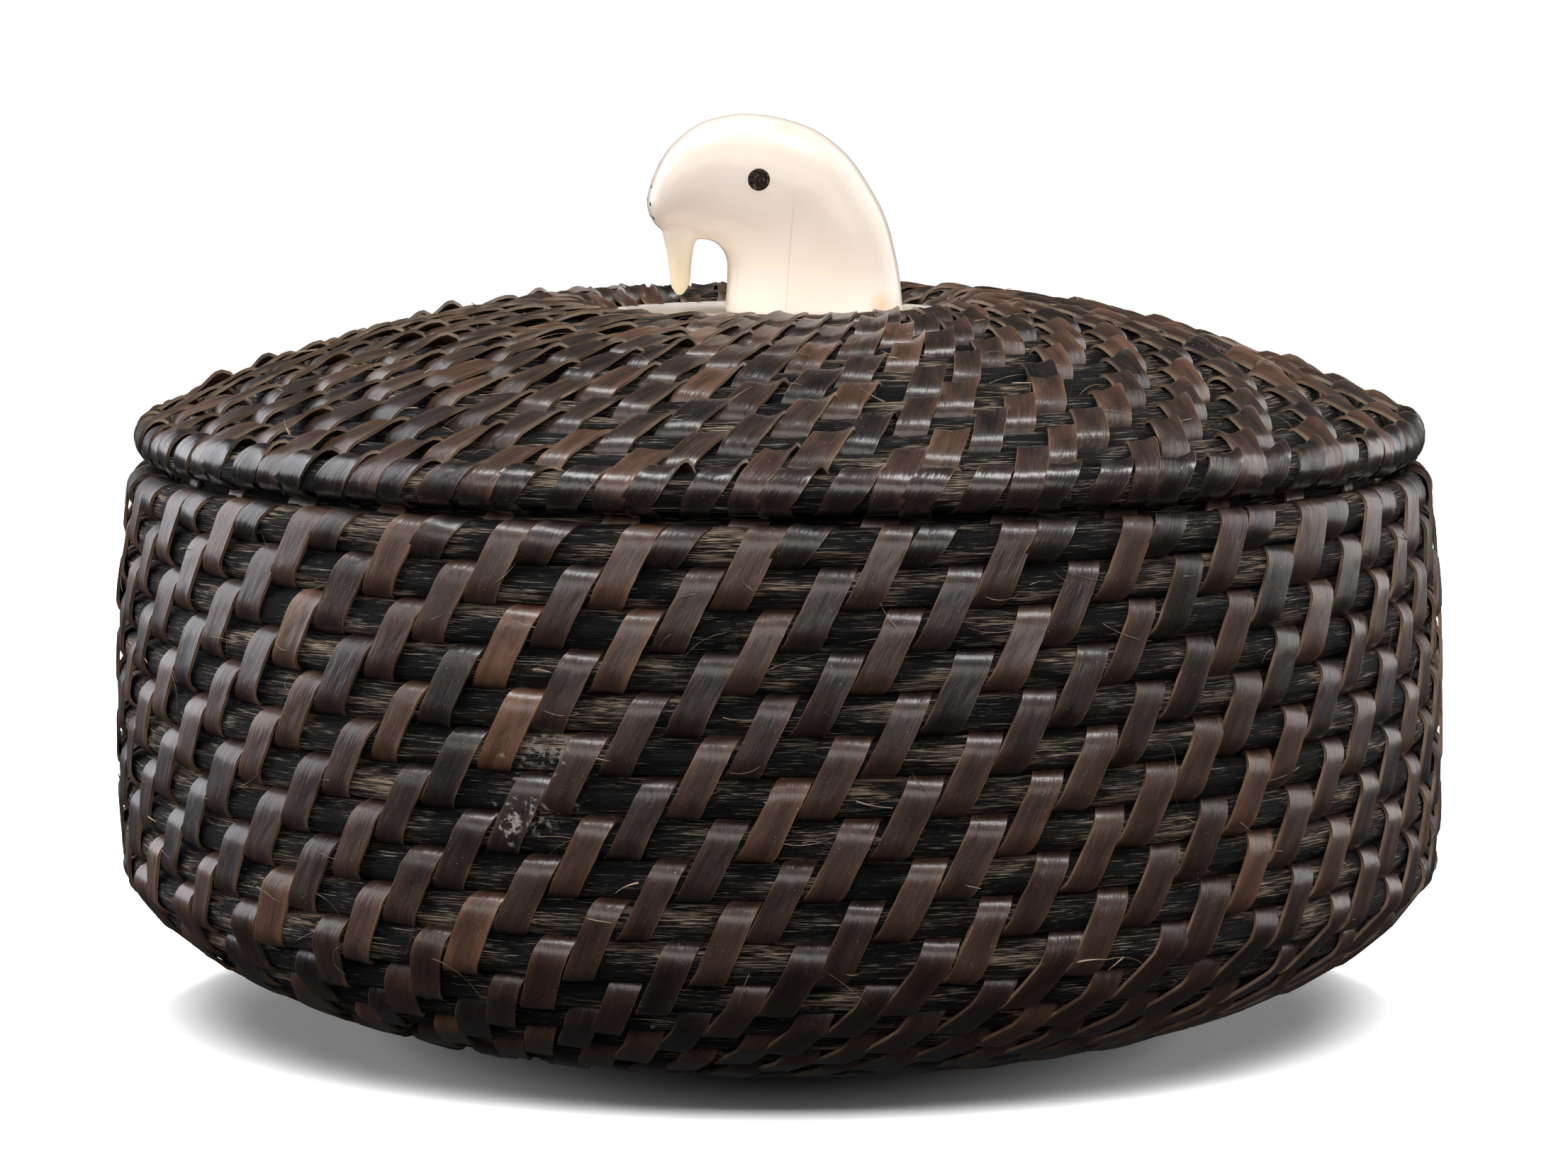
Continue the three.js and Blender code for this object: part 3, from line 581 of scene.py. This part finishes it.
def layStrips(coil, row, places, width, lean, curl, shorts=(), inner=None, thickness=strip["thickness"]):
    rows, count = coil[0], len(places)
    now = (np.sort(np.mod(places, 1)) + row)[::lean]
    following = np.append(now[1:], now[0] + lean)
    seat = rod["radius"] + strip["seat"] + thickness / 2
    innerSeat = inner["seat"] if inner else seat
    innerSpot = np.array(inner["spot"]) if inner else rows[max(row - 1, 0)]
    span = float(np.linalg.norm(rows[row] - innerSpot))
    legs = stripLegs(seat, span, lean * math.tan(strip["lean"]), shorts)
    (far, turned, outward), (along, side, nextShare, mark, isFace, legNumber) = stitchLine(legs)
    loop = far[-1]
    outShare = np.interp(along, far, outward)
    high, low = coilFrame(coil, now)[0], coilFrame(coil, now - 1)[0]
    if inner:
        low = np.broadcast_to(innerSpot, high.shape)
    radius = low[:, :1] * (1 - outShare) + high[:, :1] * outShare
    turns = now[:, None] * (1 - nextShare) + following[:, None] * nextShare + side / (fullTurn * radius)
    path = turns * fullTurn * radius.mean(1, keepdims=True)
    wholeAlong = (along[None] + np.arange(count)[:, None] * loop).ravel()
    angle = np.arctan(np.gradient(path.ravel(), wholeAlong).reshape(count, -1))
    # the band's width is set off square to its line, on the flat, before it is rolled up
    vary = chance.normal(0, 1, (8, count, 1, 1))
    ragged = chance.normal(0, strip["ragged"], (count, len(along), 1))
    offset = acrossMarks * (width / 2 * (1 + strip["uneven"] * vary[0] + ragged))
    s = np.mod(along[:, None] - offset * np.sin(angle)[..., None], loop)
    turn = turns[..., None] + offset * np.cos(angle)[..., None] / (fullTurn * radius[..., None])
    theta = np.radians(np.interp(s, far, turned))[..., None]
    outPart = np.interp(s, far, outward)
    part, face = mark[None, :, None], isFace[None, :, None]
    behind = (1 - face) * thickness * 1.05 * fadeBoth(part, 0, 0.3)  # over the short wraps of a rim
    behind = behind * (legNumber == len(legs) - 1)[None, :, None] * (1 if shorts else 0)
    height = acrossSigns * thickness / 2 + stripLifts(curl, vary, part) * face + behind
    upper, lower = coilFrame(coil, turn), coilFrame(coil, turn - 1)
    if inner:
        lower = (np.broadcast_to(innerSpot, upper[0].shape), *upper[1:])
    blend = outPart[..., None]
    centre, alongRow, outOfRow = (a * (1 - blend) + b * blend for a, b in zip(lower, upper))
    around = (innerSeat * (1 - outPart) + seat * outPart + height)[..., None]
    points = centre + around * (np.cos(theta) * outOfRow + np.sin(theta) * alongRow)
    points[..., 0] = np.minimum(points[..., 0], widest)
    points[..., 1] = np.maximum(points[..., 1], strip["lowest"])
    rings = revolve(points, turn).reshape(count * len(along), len(acrossMarks), 3)
    tint = stripTints(count, legs, shorts)[:, legNumber.astype(int), None]
    seed = chance.uniform(0, 90, count)[:, None, None]
    grain = np.stack([np.broadcast_to(v, turn.shape) for v in (offset, s, seed)], -1)
    shown = face * fadeBoth(part, 0, 0.14)  # the pale cut edge shows on the outer side only
    across = np.broadcast_to(acrossShown * (0.88 + 0.12 * shown), turn.shape)
    return rings, {"grain": grain, "across": across, "tint": np.broadcast_to(tint, turn.shape)}


def lash(name, bodyName, courses, material, replaced=()):
    values = {key: [kept[key] for _, kept in courses] for key in ("grain", "across", "tint")}
    piece = smooth(ribbonMesh(name, [rings for rings, _ in courses], values), 38)
    place(piece, bodyName, material, replaced)


# how many stitches a round has and how wide they are, by radius; where the outermost round starts; which way
# the stitches wander inwards, and how much further than side by side
bodyWeave = {"stitches": ([18, 25, 40, 45], [21, 26, 34, 35]), "phase": 0.372, "inwards": -1, "extra": 0.26,
             "widths": ([18, 30, 45], [2.0, 2.3, strip["width"]])}
lidWeave = {"stitches": ([18.3, 24, 30, 36, 45], [26, 27, 29, 31, 32]), "phase": 0.27, "inwards": 1,
            "extra": 0.0, "widths": ([18, 30, 45], [1.95, 2.3, strip["width"]])}


def stitchesAt(weave, radius):
    return int(round(np.interp(radius, *weave["stitches"])))


def widthAt(weave, radius):
    return float(np.interp(radius, *weave["widths"]))


def rhythm(rows, weave):
    # where the stitches of each row lie: each row keeps beside its neighbour, and some are lost inwards
    places = {}
    count = stitchesAt(weave, rows[-1][0])
    now = (np.arange(count) + weave["phase"]) / count
    for row in range(len(rows) - 1, -1, -1):
        around = fullTurn * rows[row][0]
        while len(now) > stitchesAt(weave, rows[row][0]):
            gaps = np.diff(np.append(now, now[0] + 1))
            now = np.delete(now, int(np.argmin(gaps + np.roll(gaps, 1))))
        for _ in range(strip["evenSteps"]):
            before, after = np.roll(now, 1), np.roll(now, -1)
            before[0] -= 1
            after[-1] += 1
            now = now + strip["even"] * ((before + after) / 2 - now)
        places[row] = now + chance.normal(0, strip["jitter"], len(now)) / around
        width = widthAt(weave, rows[row][0])
        shift = (rod["pitch"] * math.tan(strip["lean"]) + width / math.cos(strip["lean"])
                 + strip["sideGap"] + weave["extra"])
        now = now + weave["inwards"] * shift / around
    return places


bodyPlaces = rhythm(bodyRows, bodyWeave)
lidPlaces = rhythm(lidRows, lidWeave)
flatCurl = {"camber": 0.03, "right": 0.05, "left": 0.03, "rightAt": 0.35, "leftAt": 0.7, "spread": 0.3,
            "vary": 0.8, "bow": 0.04, "arch": 0.03, "roll": 0.06, "wave": 0.03}
lidCurl = {"camber": 0.02, "right": 0.52, "left": 0.08, "rightAt": 0.24, "leftAt": 0.4, "spread": 0.22,
           "vary": 0.5, "bow": 0.05, "arch": 0.12, "roll": 0.07, "wave": 0.04}
discCurl = {"camber": -0.06, "right": 0.28, "left": 0.18, "rightAt": 0.35, "leftAt": 0.35, "spread": 0.28,
            "vary": 0.25, "bow": 0.04, "arch": 0.08, "roll": 0.04, "wave": 0.02}  # beside the lid's disc
discReach = [20, 34]  # from here to here discCurl gives way to lidCurl
shortStep = strip["width"] / math.cos(strip["lean"]) + strip["sideGap"]
slopeHalf = math.tan(strip["lean"]) * rod["pitch"] / 2
# the first round goes round the disc's edge and through its slots: the middle of that turn, and its radius
bodyDisc = {"spot": (16.1, 1.3), "seat": 1.0}
lidDisc = {"spot": (16.2, disc["lidTop"] - 1.05), "seat": 1.15}


def bodyCourse(row):
    shorts = [(slopeHalf + shortStep, 0)] if row == lastBody else []
    width = widthAt(bodyWeave, bodyRows[row][0])
    inner = bodyDisc if row == 0 else None
    return layStrips(bodyCoil, row, bodyPlaces[row], width, 1, flatCurl, shorts, inner)


def lidCourse(row):
    shorts = [(-slopeHalf - shortStep, 0), (-slopeHalf + shortStep, 1)] if row == lastLid else []
    near = float(np.interp(lidRows[row][0], discReach, [1, 0]))
    curl = {key: lidCurl[key] * (1 - near) + discCurl[key] * near for key in lidCurl}
    width = widthAt(lidWeave, lidRows[row][0])
    inner = lidDisc if row == 0 else None
    return layStrips(lidCoil, row, lidPlaces[row], width, -1, curl, shorts, inner, lid["strip"])


innerRows = 6  # a base or lid is lashed in two pieces, the first of this many rows
lash("base_strips_inner", "basket", [bodyCourse(row) for row in range(innerRows)], stripLook)
lash("base_strips_outer", "basket", [bodyCourse(row) for row in range(innerRows, foot)], stripLook)
for row in range(foot, lastBody + 1):
    number = lastBody + 1 - row
    node = "rim_lashing" if row == lastBody else f"wall_lashing_{number:02d}"
    replaced = [node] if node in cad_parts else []  # the two lowest courses have no solid
    lash(f"wall_strips_{number:02d}", "basket", [bodyCourse(row)], stripLook, replaced)
lash("lid_strips_inner", "lid", [lidCourse(row) for row in range(innerRows)], lidStripLook)
lash("lid_strips_outer", "lid", [lidCourse(row) for row in range(innerRows, lastLid)], lidStripLook)
lash("lid_strips_rim", "lid", [lidCourse(lastLid)], rimLook, ["lid_rim_lashing"])
flangePlaces = np.arange(flange["stitches"]) / flange["stitches"]
flangeCourse = layStrips(flangeCoil, 1, flangePlaces, strip["width"], 1, flatCurl)
lash("flange_strips", "lid", [flangeCourse], stripLook, ["flange_lashing"])
print("strips lashed")


# Loose fibres and splinters that stand off the rods and strips

fray = {"sides": 4, "steps": 9, "off": 0.32, "rise": (0.15, 0.7), "skew": 0.5, "taper": 0.75,
        "hairs": 140, "hair": {"radius": 0.03, "length": (1.5, 5.5), "bend": 1.3, "rise": 0.6},
        "splinters": 44, "splinter": {"radius": 0.1, "length": (1.2, 3.0), "bend": 0.35, "rise": 1}}


def frayedPiece(name, bodyName, coil, rowRange):
    tubes = []
    part = np.linspace(0, 1, fray["steps"])
    corner = np.arange(fray["sides"]) / fray["sides"] * fullTurn
    cross = np.stack([np.cos(corner), np.sin(corner)], -1)  # one way along the coil's out, one along its row
    for kind in [fray["hair"]] * fray["hairs"] + [fray["splinter"]] * fray["splinters"]:
        turn = math.floor(chance.uniform(*rowRange)) + chance.uniform(0, 0.8)
        centre, along, out = (v[0] for v in coilFrame(coil, np.array([turn])))
        step = chance.uniform(*kind["length"]) / (fray["steps"] - 1)
        heading = chance.normal(0, fray["skew"]) + (math.pi if chance.uniform() < 0.5 else 0)
        angle = heading + chance.normal(0, kind["bend"]) * part
        rise = chance.uniform(*fray["rise"]) * kind["rise"]
        sideways = np.concatenate([[0], np.cumsum(np.cos(angle[:-1]))]) * step
        upward = np.concatenate([[0], np.cumsum(np.sin(angle[:-1]))]) * step
        arch = part if kind is fray["splinter"] else np.sin(part * math.pi)  # a hair lies down again
        stand = rod["radius"] + fray["off"] * chance.uniform(0.2, 1) + rise * arch
        middle = centre + along * upward[:, None] + out * stand[:, None]
        middle[:, 0] = np.minimum(middle[:, 0], widest - fray["splinter"]["radius"])
        section = (kind["radius"] * (1 - fray["taper"] * part))[:, None, None] * cross
        points = middle[:, None] + out * section[..., :1] + along * section[..., 1:]
        tubes.append(revolve(points, turn + (sideways / (fullTurn * centre[0]))[:, None]))
    return place(smooth(ribbonMesh(name, tubes, {}), 80), bodyName, fibreLook)


frayedPiece("frayed_wall_fibres", "basket", bodyCoil, (foot, lastBody))
frayedPiece("frayed_lid_fibres", "lid", lidCoil, (1, lastLid))
print("fibres added")


# Ivory starter discs


def starterDisc(name, bottom, bodyName, node, places):
    middle = (bottom + disc["thickness"] / 2) * mm
    piece = turnedPiece(name, 128, disc["radius"], disc["thickness"], (0, 0, middle), disc["chamfer"], 3)
    deselectAll()
    slots = []
    for turn in places:
        angle = rod["startAngle"] + turn * fullTurn
        spot = (disc["slotCircle"] * math.cos(angle) * mm, disc["slotCircle"] * math.sin(angle) * mm, middle)
        bpy.ops.mesh.primitive_cylinder_add(
            vertices=16, radius=disc["slot"] / 2 * mm, depth=2 * disc["thickness"] * mm,
            rotation=(0, 0, angle), location=spot)
        slots.append(bpy.context.object)
        slots[-1].scale = (disc["slotNarrow"], 1, 1)
    for slot in slots:
        slot.select_set(True)
    bpy.ops.object.transform_apply(location=True, rotation=True, scale=True)
    bpy.ops.object.join()
    cutter = bpy.context.object
    cut = piece.modifiers.new("lashing slots", "BOOLEAN")
    cut.operation, cut.object, cut.solver = "DIFFERENCE", cutter, "EXACT"
    only(piece)
    bpy.ops.object.modifier_apply(modifier=cut.name)
    bpy.data.objects.remove(cutter)
    return place(smooth(piece, 30), bodyName, ivoryLook, [node])


starterDisc("ivory_base_disc", 0, "basket", "base_disc", bodyPlaces[0])
starterDisc("ivory_lid_disc", disc["lidTop"] - disc["thickness"], "lid", "lid_disc", lidPlaces[0])
print("discs cut")


# Finial: a walrus head that looks towards -X. Each section gives the throat and the crown as shares of the
# length and the height, then the half width as a share of the width

head = {"flat": 2.5, "length": 21.8, "height": 17.1, "width": 11, "forward": 11.5, "seat": 62.169,
        "points": 40, "between": 4, "voxel": 0.2, "polish": 10}
headSections = (
    (0.308, 0.000, 1.018, 0.000, 0.47), (0.318, 0.165, 1.000, 0.210, 0.47), (0.316, 0.270, 0.955, 0.450, 0.48),
    (0.287, 0.335, 0.890, 0.620, 0.49), (0.245, 0.365, 0.790, 0.800, 0.50), (0.195, 0.370, 0.640, 0.935, 0.49),
    (0.145, 0.390, 0.420, 1.000, 0.47), (0.100, 0.400, 0.235, 0.965, 0.45), (0.062, 0.412, 0.115, 0.862, 0.42),
    (0.032, 0.445, 0.052, 0.755, 0.36), (0.010, 0.497, 0.014, 0.640, 0.24), (0.000, 0.540, 0.002, 0.580, 0.08))
tusk = {"along": 0.132, "up": 0.395, "root": 1.8, "length": 5.3, "spread": 3.6, "wide": 2.7, "tip": 1.5,
        "flare": 0.35, "flareDeep": 0.9, "sink": 0.45, "oval": 0.9, "rings": 9, "points": 20,
        "roundFrom": 0.86, "roundSquared": 0.0225, "leastSquared": 0.08,
        "blend": 40, "blendUp": 0.1, "blendWide": 2.6, "blendTall": 1.3}


def headPoint(along, up, y=0.0):
    return Vector((along * head["length"] - head["forward"], y, up * head["height"] + head["seat"]))


def loftRings(rings, points, flat=2.0):
    # rings are (centre, half axis in the middle plane, half width): circles set in place, then bridged;
    # a flat above 2 gives them flatter sides
    deselectAll()
    made = []
    for centre, halfAxis, halfWidth in rings:
        bpy.ops.mesh.primitive_circle_add(vertices=points, radius=1)
        ring = bpy.context.object
        for v in ring.data.vertices:
            v.co.x, v.co.y = (math.copysign(abs(c) ** (2 / flat), c) for c in v.co.xy)
        across = Vector((0, 1, 0)) * halfWidth
        normal = halfAxis.cross(across).normalized()
        ring.data.transform(Matrix.Translation(centre * mm) @ Matrix(
            [[halfAxis[i] * mm, across[i] * mm, normal[i] * mm, 0] for i in range(3)] + [[0, 0, 0, 1]]))
        made.append(ring)
    joined(made)
    bpy.ops.object.mode_set(mode="EDIT")
    bpy.ops.mesh.select_all(action="SELECT")
    bpy.ops.mesh.bridge_edge_loops()
    bpy.ops.mesh.select_all(action="DESELECT")
    bpy.ops.mesh.select_mode(type="EDGE")
    bpy.ops.mesh.select_non_manifold(extend=False)
    bpy.ops.mesh.fill_holes(sides=0)
    bpy.ops.mesh.select_all(action="SELECT")
    bpy.ops.mesh.normals_make_consistent(inside=False)
    bpy.ops.object.mode_set(mode="OBJECT")
    return bpy.context.object


def throughPoints(rows, steps):
    # a smooth curve through rows of values, as a lofting spline draws it
    rows = np.array(rows, float)
    padded = np.concatenate([[2 * rows[0] - rows[1]], rows, [2 * rows[-1] - rows[-2]]])
    curve = []
    for i in range(len(rows) - 1):
        a, b, c, d = padded[i:i + 4]
        for t in np.arange(steps) / steps:
            curve.append(0.5 * (2 * b + (c - a) * t + (2 * a - 5 * b + 4 * c - d) * t * t
                                + (3 * b - a - 3 * c + d) * t ** 3))
    return np.array(curve + [rows[-1]])


def carvedTusk(side):
    root = headPoint(tusk["along"], tusk["up"], side * tusk["spread"] / 2)
    rings = []
    for part in np.linspace(0, 1, tusk["rings"]):
        drop = -tusk["root"] + (tusk["root"] + tusk["length"]) * part
        wide = (tusk["wide"] + (tusk["tip"] - tusk["wide"]) * part) / 2
        pastRound = max(part - tusk["roundFrom"], 0)
        wide *= math.sqrt(max(1 - pastRound ** 2 / tusk["roundSquared"], tusk["leastSquared"]))
        wide += tusk["flare"] * math.exp(-(drop / tusk["flareDeep"]) ** 2) + min(drop, 0) * tusk["sink"]
        rings.append((root + Vector((0, 0, -drop)), Vector((wide, 0, 0)), wide * tusk["oval"]))
    return loftRings(rings, tusk["points"])


def finialHead():
    rings = []
    for throatAlong, throatUp, crownAlong, crownUp, halfWidth in throughPoints(headSections, head["between"]):
        throat, crown = headPoint(throatAlong, throatUp), headPoint(crownAlong, crownUp)
        rings.append(((throat + crown) / 2, (crown - throat) / 2, halfWidth * head["width"]))
    piece = joined([loftRings(rings, head["points"], head["flat"]), carvedTusk(-1), carvedTusk(1)])
    remesh = piece.modifiers.new("one body", "REMESH")
    remesh.mode, remesh.voxel_size = "VOXEL", head["voxel"] * mm
    bpy.ops.object.modifier_apply(modifier=remesh.name)
    soften(piece, head["polish"])
    root = headPoint(tusk["along"], tusk["up"]) * mm
    roots = piece.vertex_groups.new(name="tusk roots")
    for v in piece.data.vertices:
        away = math.hypot((v.co.x - root.x) / tusk["blendWide"],
                          (v.co.z - root.z - tusk["blendUp"] * mm) / tusk["blendTall"]) / mm
        if away < 1:
            roots.add([v.index], (1 - away * away) ** 2, "REPLACE")
    soften(piece, tusk["blend"], roots.name)
    piece.name = "walrus_head"
    return piece


skull = finialHead()
place(smooth(skull, 60), "lid", ivoryLook, ["finial_head"])

# eyes and whisker dots as (radius, how far they stand proud, depth); each whisker as (sideways, height)
inlay = {"sides": 28, "wear": 0.18, "eye": (1.0, 0.05, 1.2), "dot": (0.2, 0.02, 0.3), "eyeAlong": 0.446,
         "eyeUp": 0.681, "ahead": -30,
         "whiskers": ((2.5, 73.1), (2.9, 71.6), (2.6, 70.4), (1.5, 73.6), (1.7, 72.0), (1.6, 70.6),
                      (1.2, 75.0))}


def plug(name, start, way, radius, proud, depth):
    # set where the line from start meets the ivory, square to the surface there
    _, point, normal, _ = skull.ray_cast(Vector(start) * mm, Vector(way))
    middle = point + normal * (proud * mm - depth * mm / 2)
    return turnedPiece(name, inlay["sides"], radius, depth, middle, radius * inlay["wear"], 2,
                       normal.to_track_quat("Z", "Y").to_euler())


eyeSpot = headPoint(inlay["eyeAlong"], inlay["eyeUp"])
for side, node in ((-1, "eye_left"), (1, "eye_right")):
    eye = plug("inlaid_" + node, (eyeSpot.x, side * head["width"], eyeSpot.z), (0, -side, 0), *inlay["eye"])
    place(smooth(eye), "lid", inlayLook, [node])
dots = joined([plug("whisker dot", (inlay["ahead"], y * side, z), (1, 0, 0), *inlay["dot"])
               for y, z in inlay["whiskers"] for side in (-1, 1)])
dots.name = "whisker_dots"
place(smooth(dots), "lid", inlayLook)

dowel = {"radius": 1.6, "length": 8.25, "middle": 64.044, "edge": 0.35}
dowelSpot = (0, 0, dowel["middle"] * mm)
peg = turnedPiece("finial_dowel", 32, dowel["radius"], dowel["length"], dowelSpot, dowel["edge"], 3)
place(smooth(peg), "lid", woodLook, ["finial_peg"])
print("finial carved")


# Floor, light and camera. A lamp is its name, watts, size, place and tone; those named wash light the paper
# alone, and the others light all but the paper

studio = {"floor": 0.9, "sunk": 0.0002, "paper": "#f6f6f6", "dim": 0.03, "aim": (0, 0, 0.035),
          "lamps": (("overhead softbox left", 4.6, (0.36, 0.26), (-0.36, -0.17, 0.9), "#ffffff"),
                    ("overhead softbox right", 4.6, (0.36, 0.26), (0.36, -0.17, 0.9), "#ffffff"),
                    ("front fill", 17, (3, 0.6), (-0.1, -1.2, 0.55), "#fffaf6"),
                    ("left softbox", 10, (1.2, 0.9), (-0.85, 0.32, 0.4), "#f8f9ff"),
                    ("right softbox", 6, (1.0, 0.8), (0.83, 0.36, 0.4), "#fffcfa"),
                    ("paper wash above", 20, (0.35, 0.35), (0, -0.03, 0.95), "#ffffff"),
                    ("paper wash in front", 42, (0.9, 0.4), (0.02, -0.9, 0.8), "#ffffff"),
                    ("paper wash all over", 22, (2, 2), (0, 0, 1.3), "#ffffff"),
                    ("paper wash on the left", 6, (0.4, 0.4), (-0.9, -0.05, 0.26), "#ffffff"),
                    ("paper wash on the right", 6, (0.4, 0.4), (0.9, -0.05, 0.26), "#ffffff"))}


def addLamp(name, energy, size, spot, tone):
    data = bpy.data.lights.new(name, "AREA")
    data.energy = energy
    data.color = colour(tone)[:3]
    data.shape = "RECTANGLE"
    data.size, data.size_y = size
    lamp = bpy.data.objects.new(name, data)
    bpy.context.scene.collection.objects.link(lamp)
    lamp.location = spot
    lamp.rotation_euler = (Vector(studio["aim"]) - Vector(spot)).to_track_quat("-Z", "Y").to_euler()
    return lamp


deselectAll()
bpy.ops.mesh.primitive_plane_add(size=studio["floor"], location=(0, 0, -studio["sunk"]))
floor = bpy.context.object
floor.name = "studio_floor"
paperLook = newMaterial("white paper sweep", {"Base Color": colour(studio["paper"]), "Roughness": 0.9})
floor.data.materials.append(paperLook[0])
floor.visible_diffuse = floor.visible_glossy = False  # the paper throws no light up under the basket

# the paper fades into a white backdrop, while the room round it stays dim
world = bpy.data.worlds.new("studio")
world.use_nodes = True
seen = addNode(world.node_tree, "LightPath")
level = addNode(world.node_tree, "MapRange", {"To Min": studio["dim"], "To Max": 1.0},
                {"Value": seen.outputs["Is Camera Ray"]})
backdrop = world.node_tree.nodes["Background"]
world.node_tree.links.new(level.outputs[0], backdrop.inputs["Strength"])
backdrop.inputs["Color"].default_value = (1, 1, 1, 1)
bpy.context.scene.world = world
bpy.context.scene.view_settings.view_transform = "Standard"
paperOnly, paperLeftOut = (bpy.data.collections.new(name) for name in ("paper", "paper left out"))
for group in (paperOnly, paperLeftOut):
    group.objects.link(floor)
paperLeftOut.collection_objects[0].light_linking.link_state = "EXCLUDE"
for name, *settings in studio["lamps"]:
    lamp = addLamp(name, *settings)
    lamp.light_linking.receiver_collection = paperOnly if "wash" in name else paperLeftOut

# the photographer's camera, in mm and degrees: about half a metre away, looking a little down
cameraSize = {"side": 0.37, "away": 489.2, "height": 94.9, "down": 6.63, "lens": 129.7, "sensor": 36}
camera = bpy.data.objects.new("camera", bpy.data.cameras.new("camera"))
bpy.context.scene.collection.objects.link(camera)
camera.data.lens = cameraSize["lens"]
camera.data.sensor_width = cameraSize["sensor"]
camera.data.clip_start = 0.01
camera.location = (cameraSize["side"] * mm, -cameraSize["away"] * mm, cameraSize["height"] * mm)
camera.rotation_euler = (math.radians(90 - cameraSize["down"]), 0, 0)
bpy.context.scene.camera = camera
print("studio set")
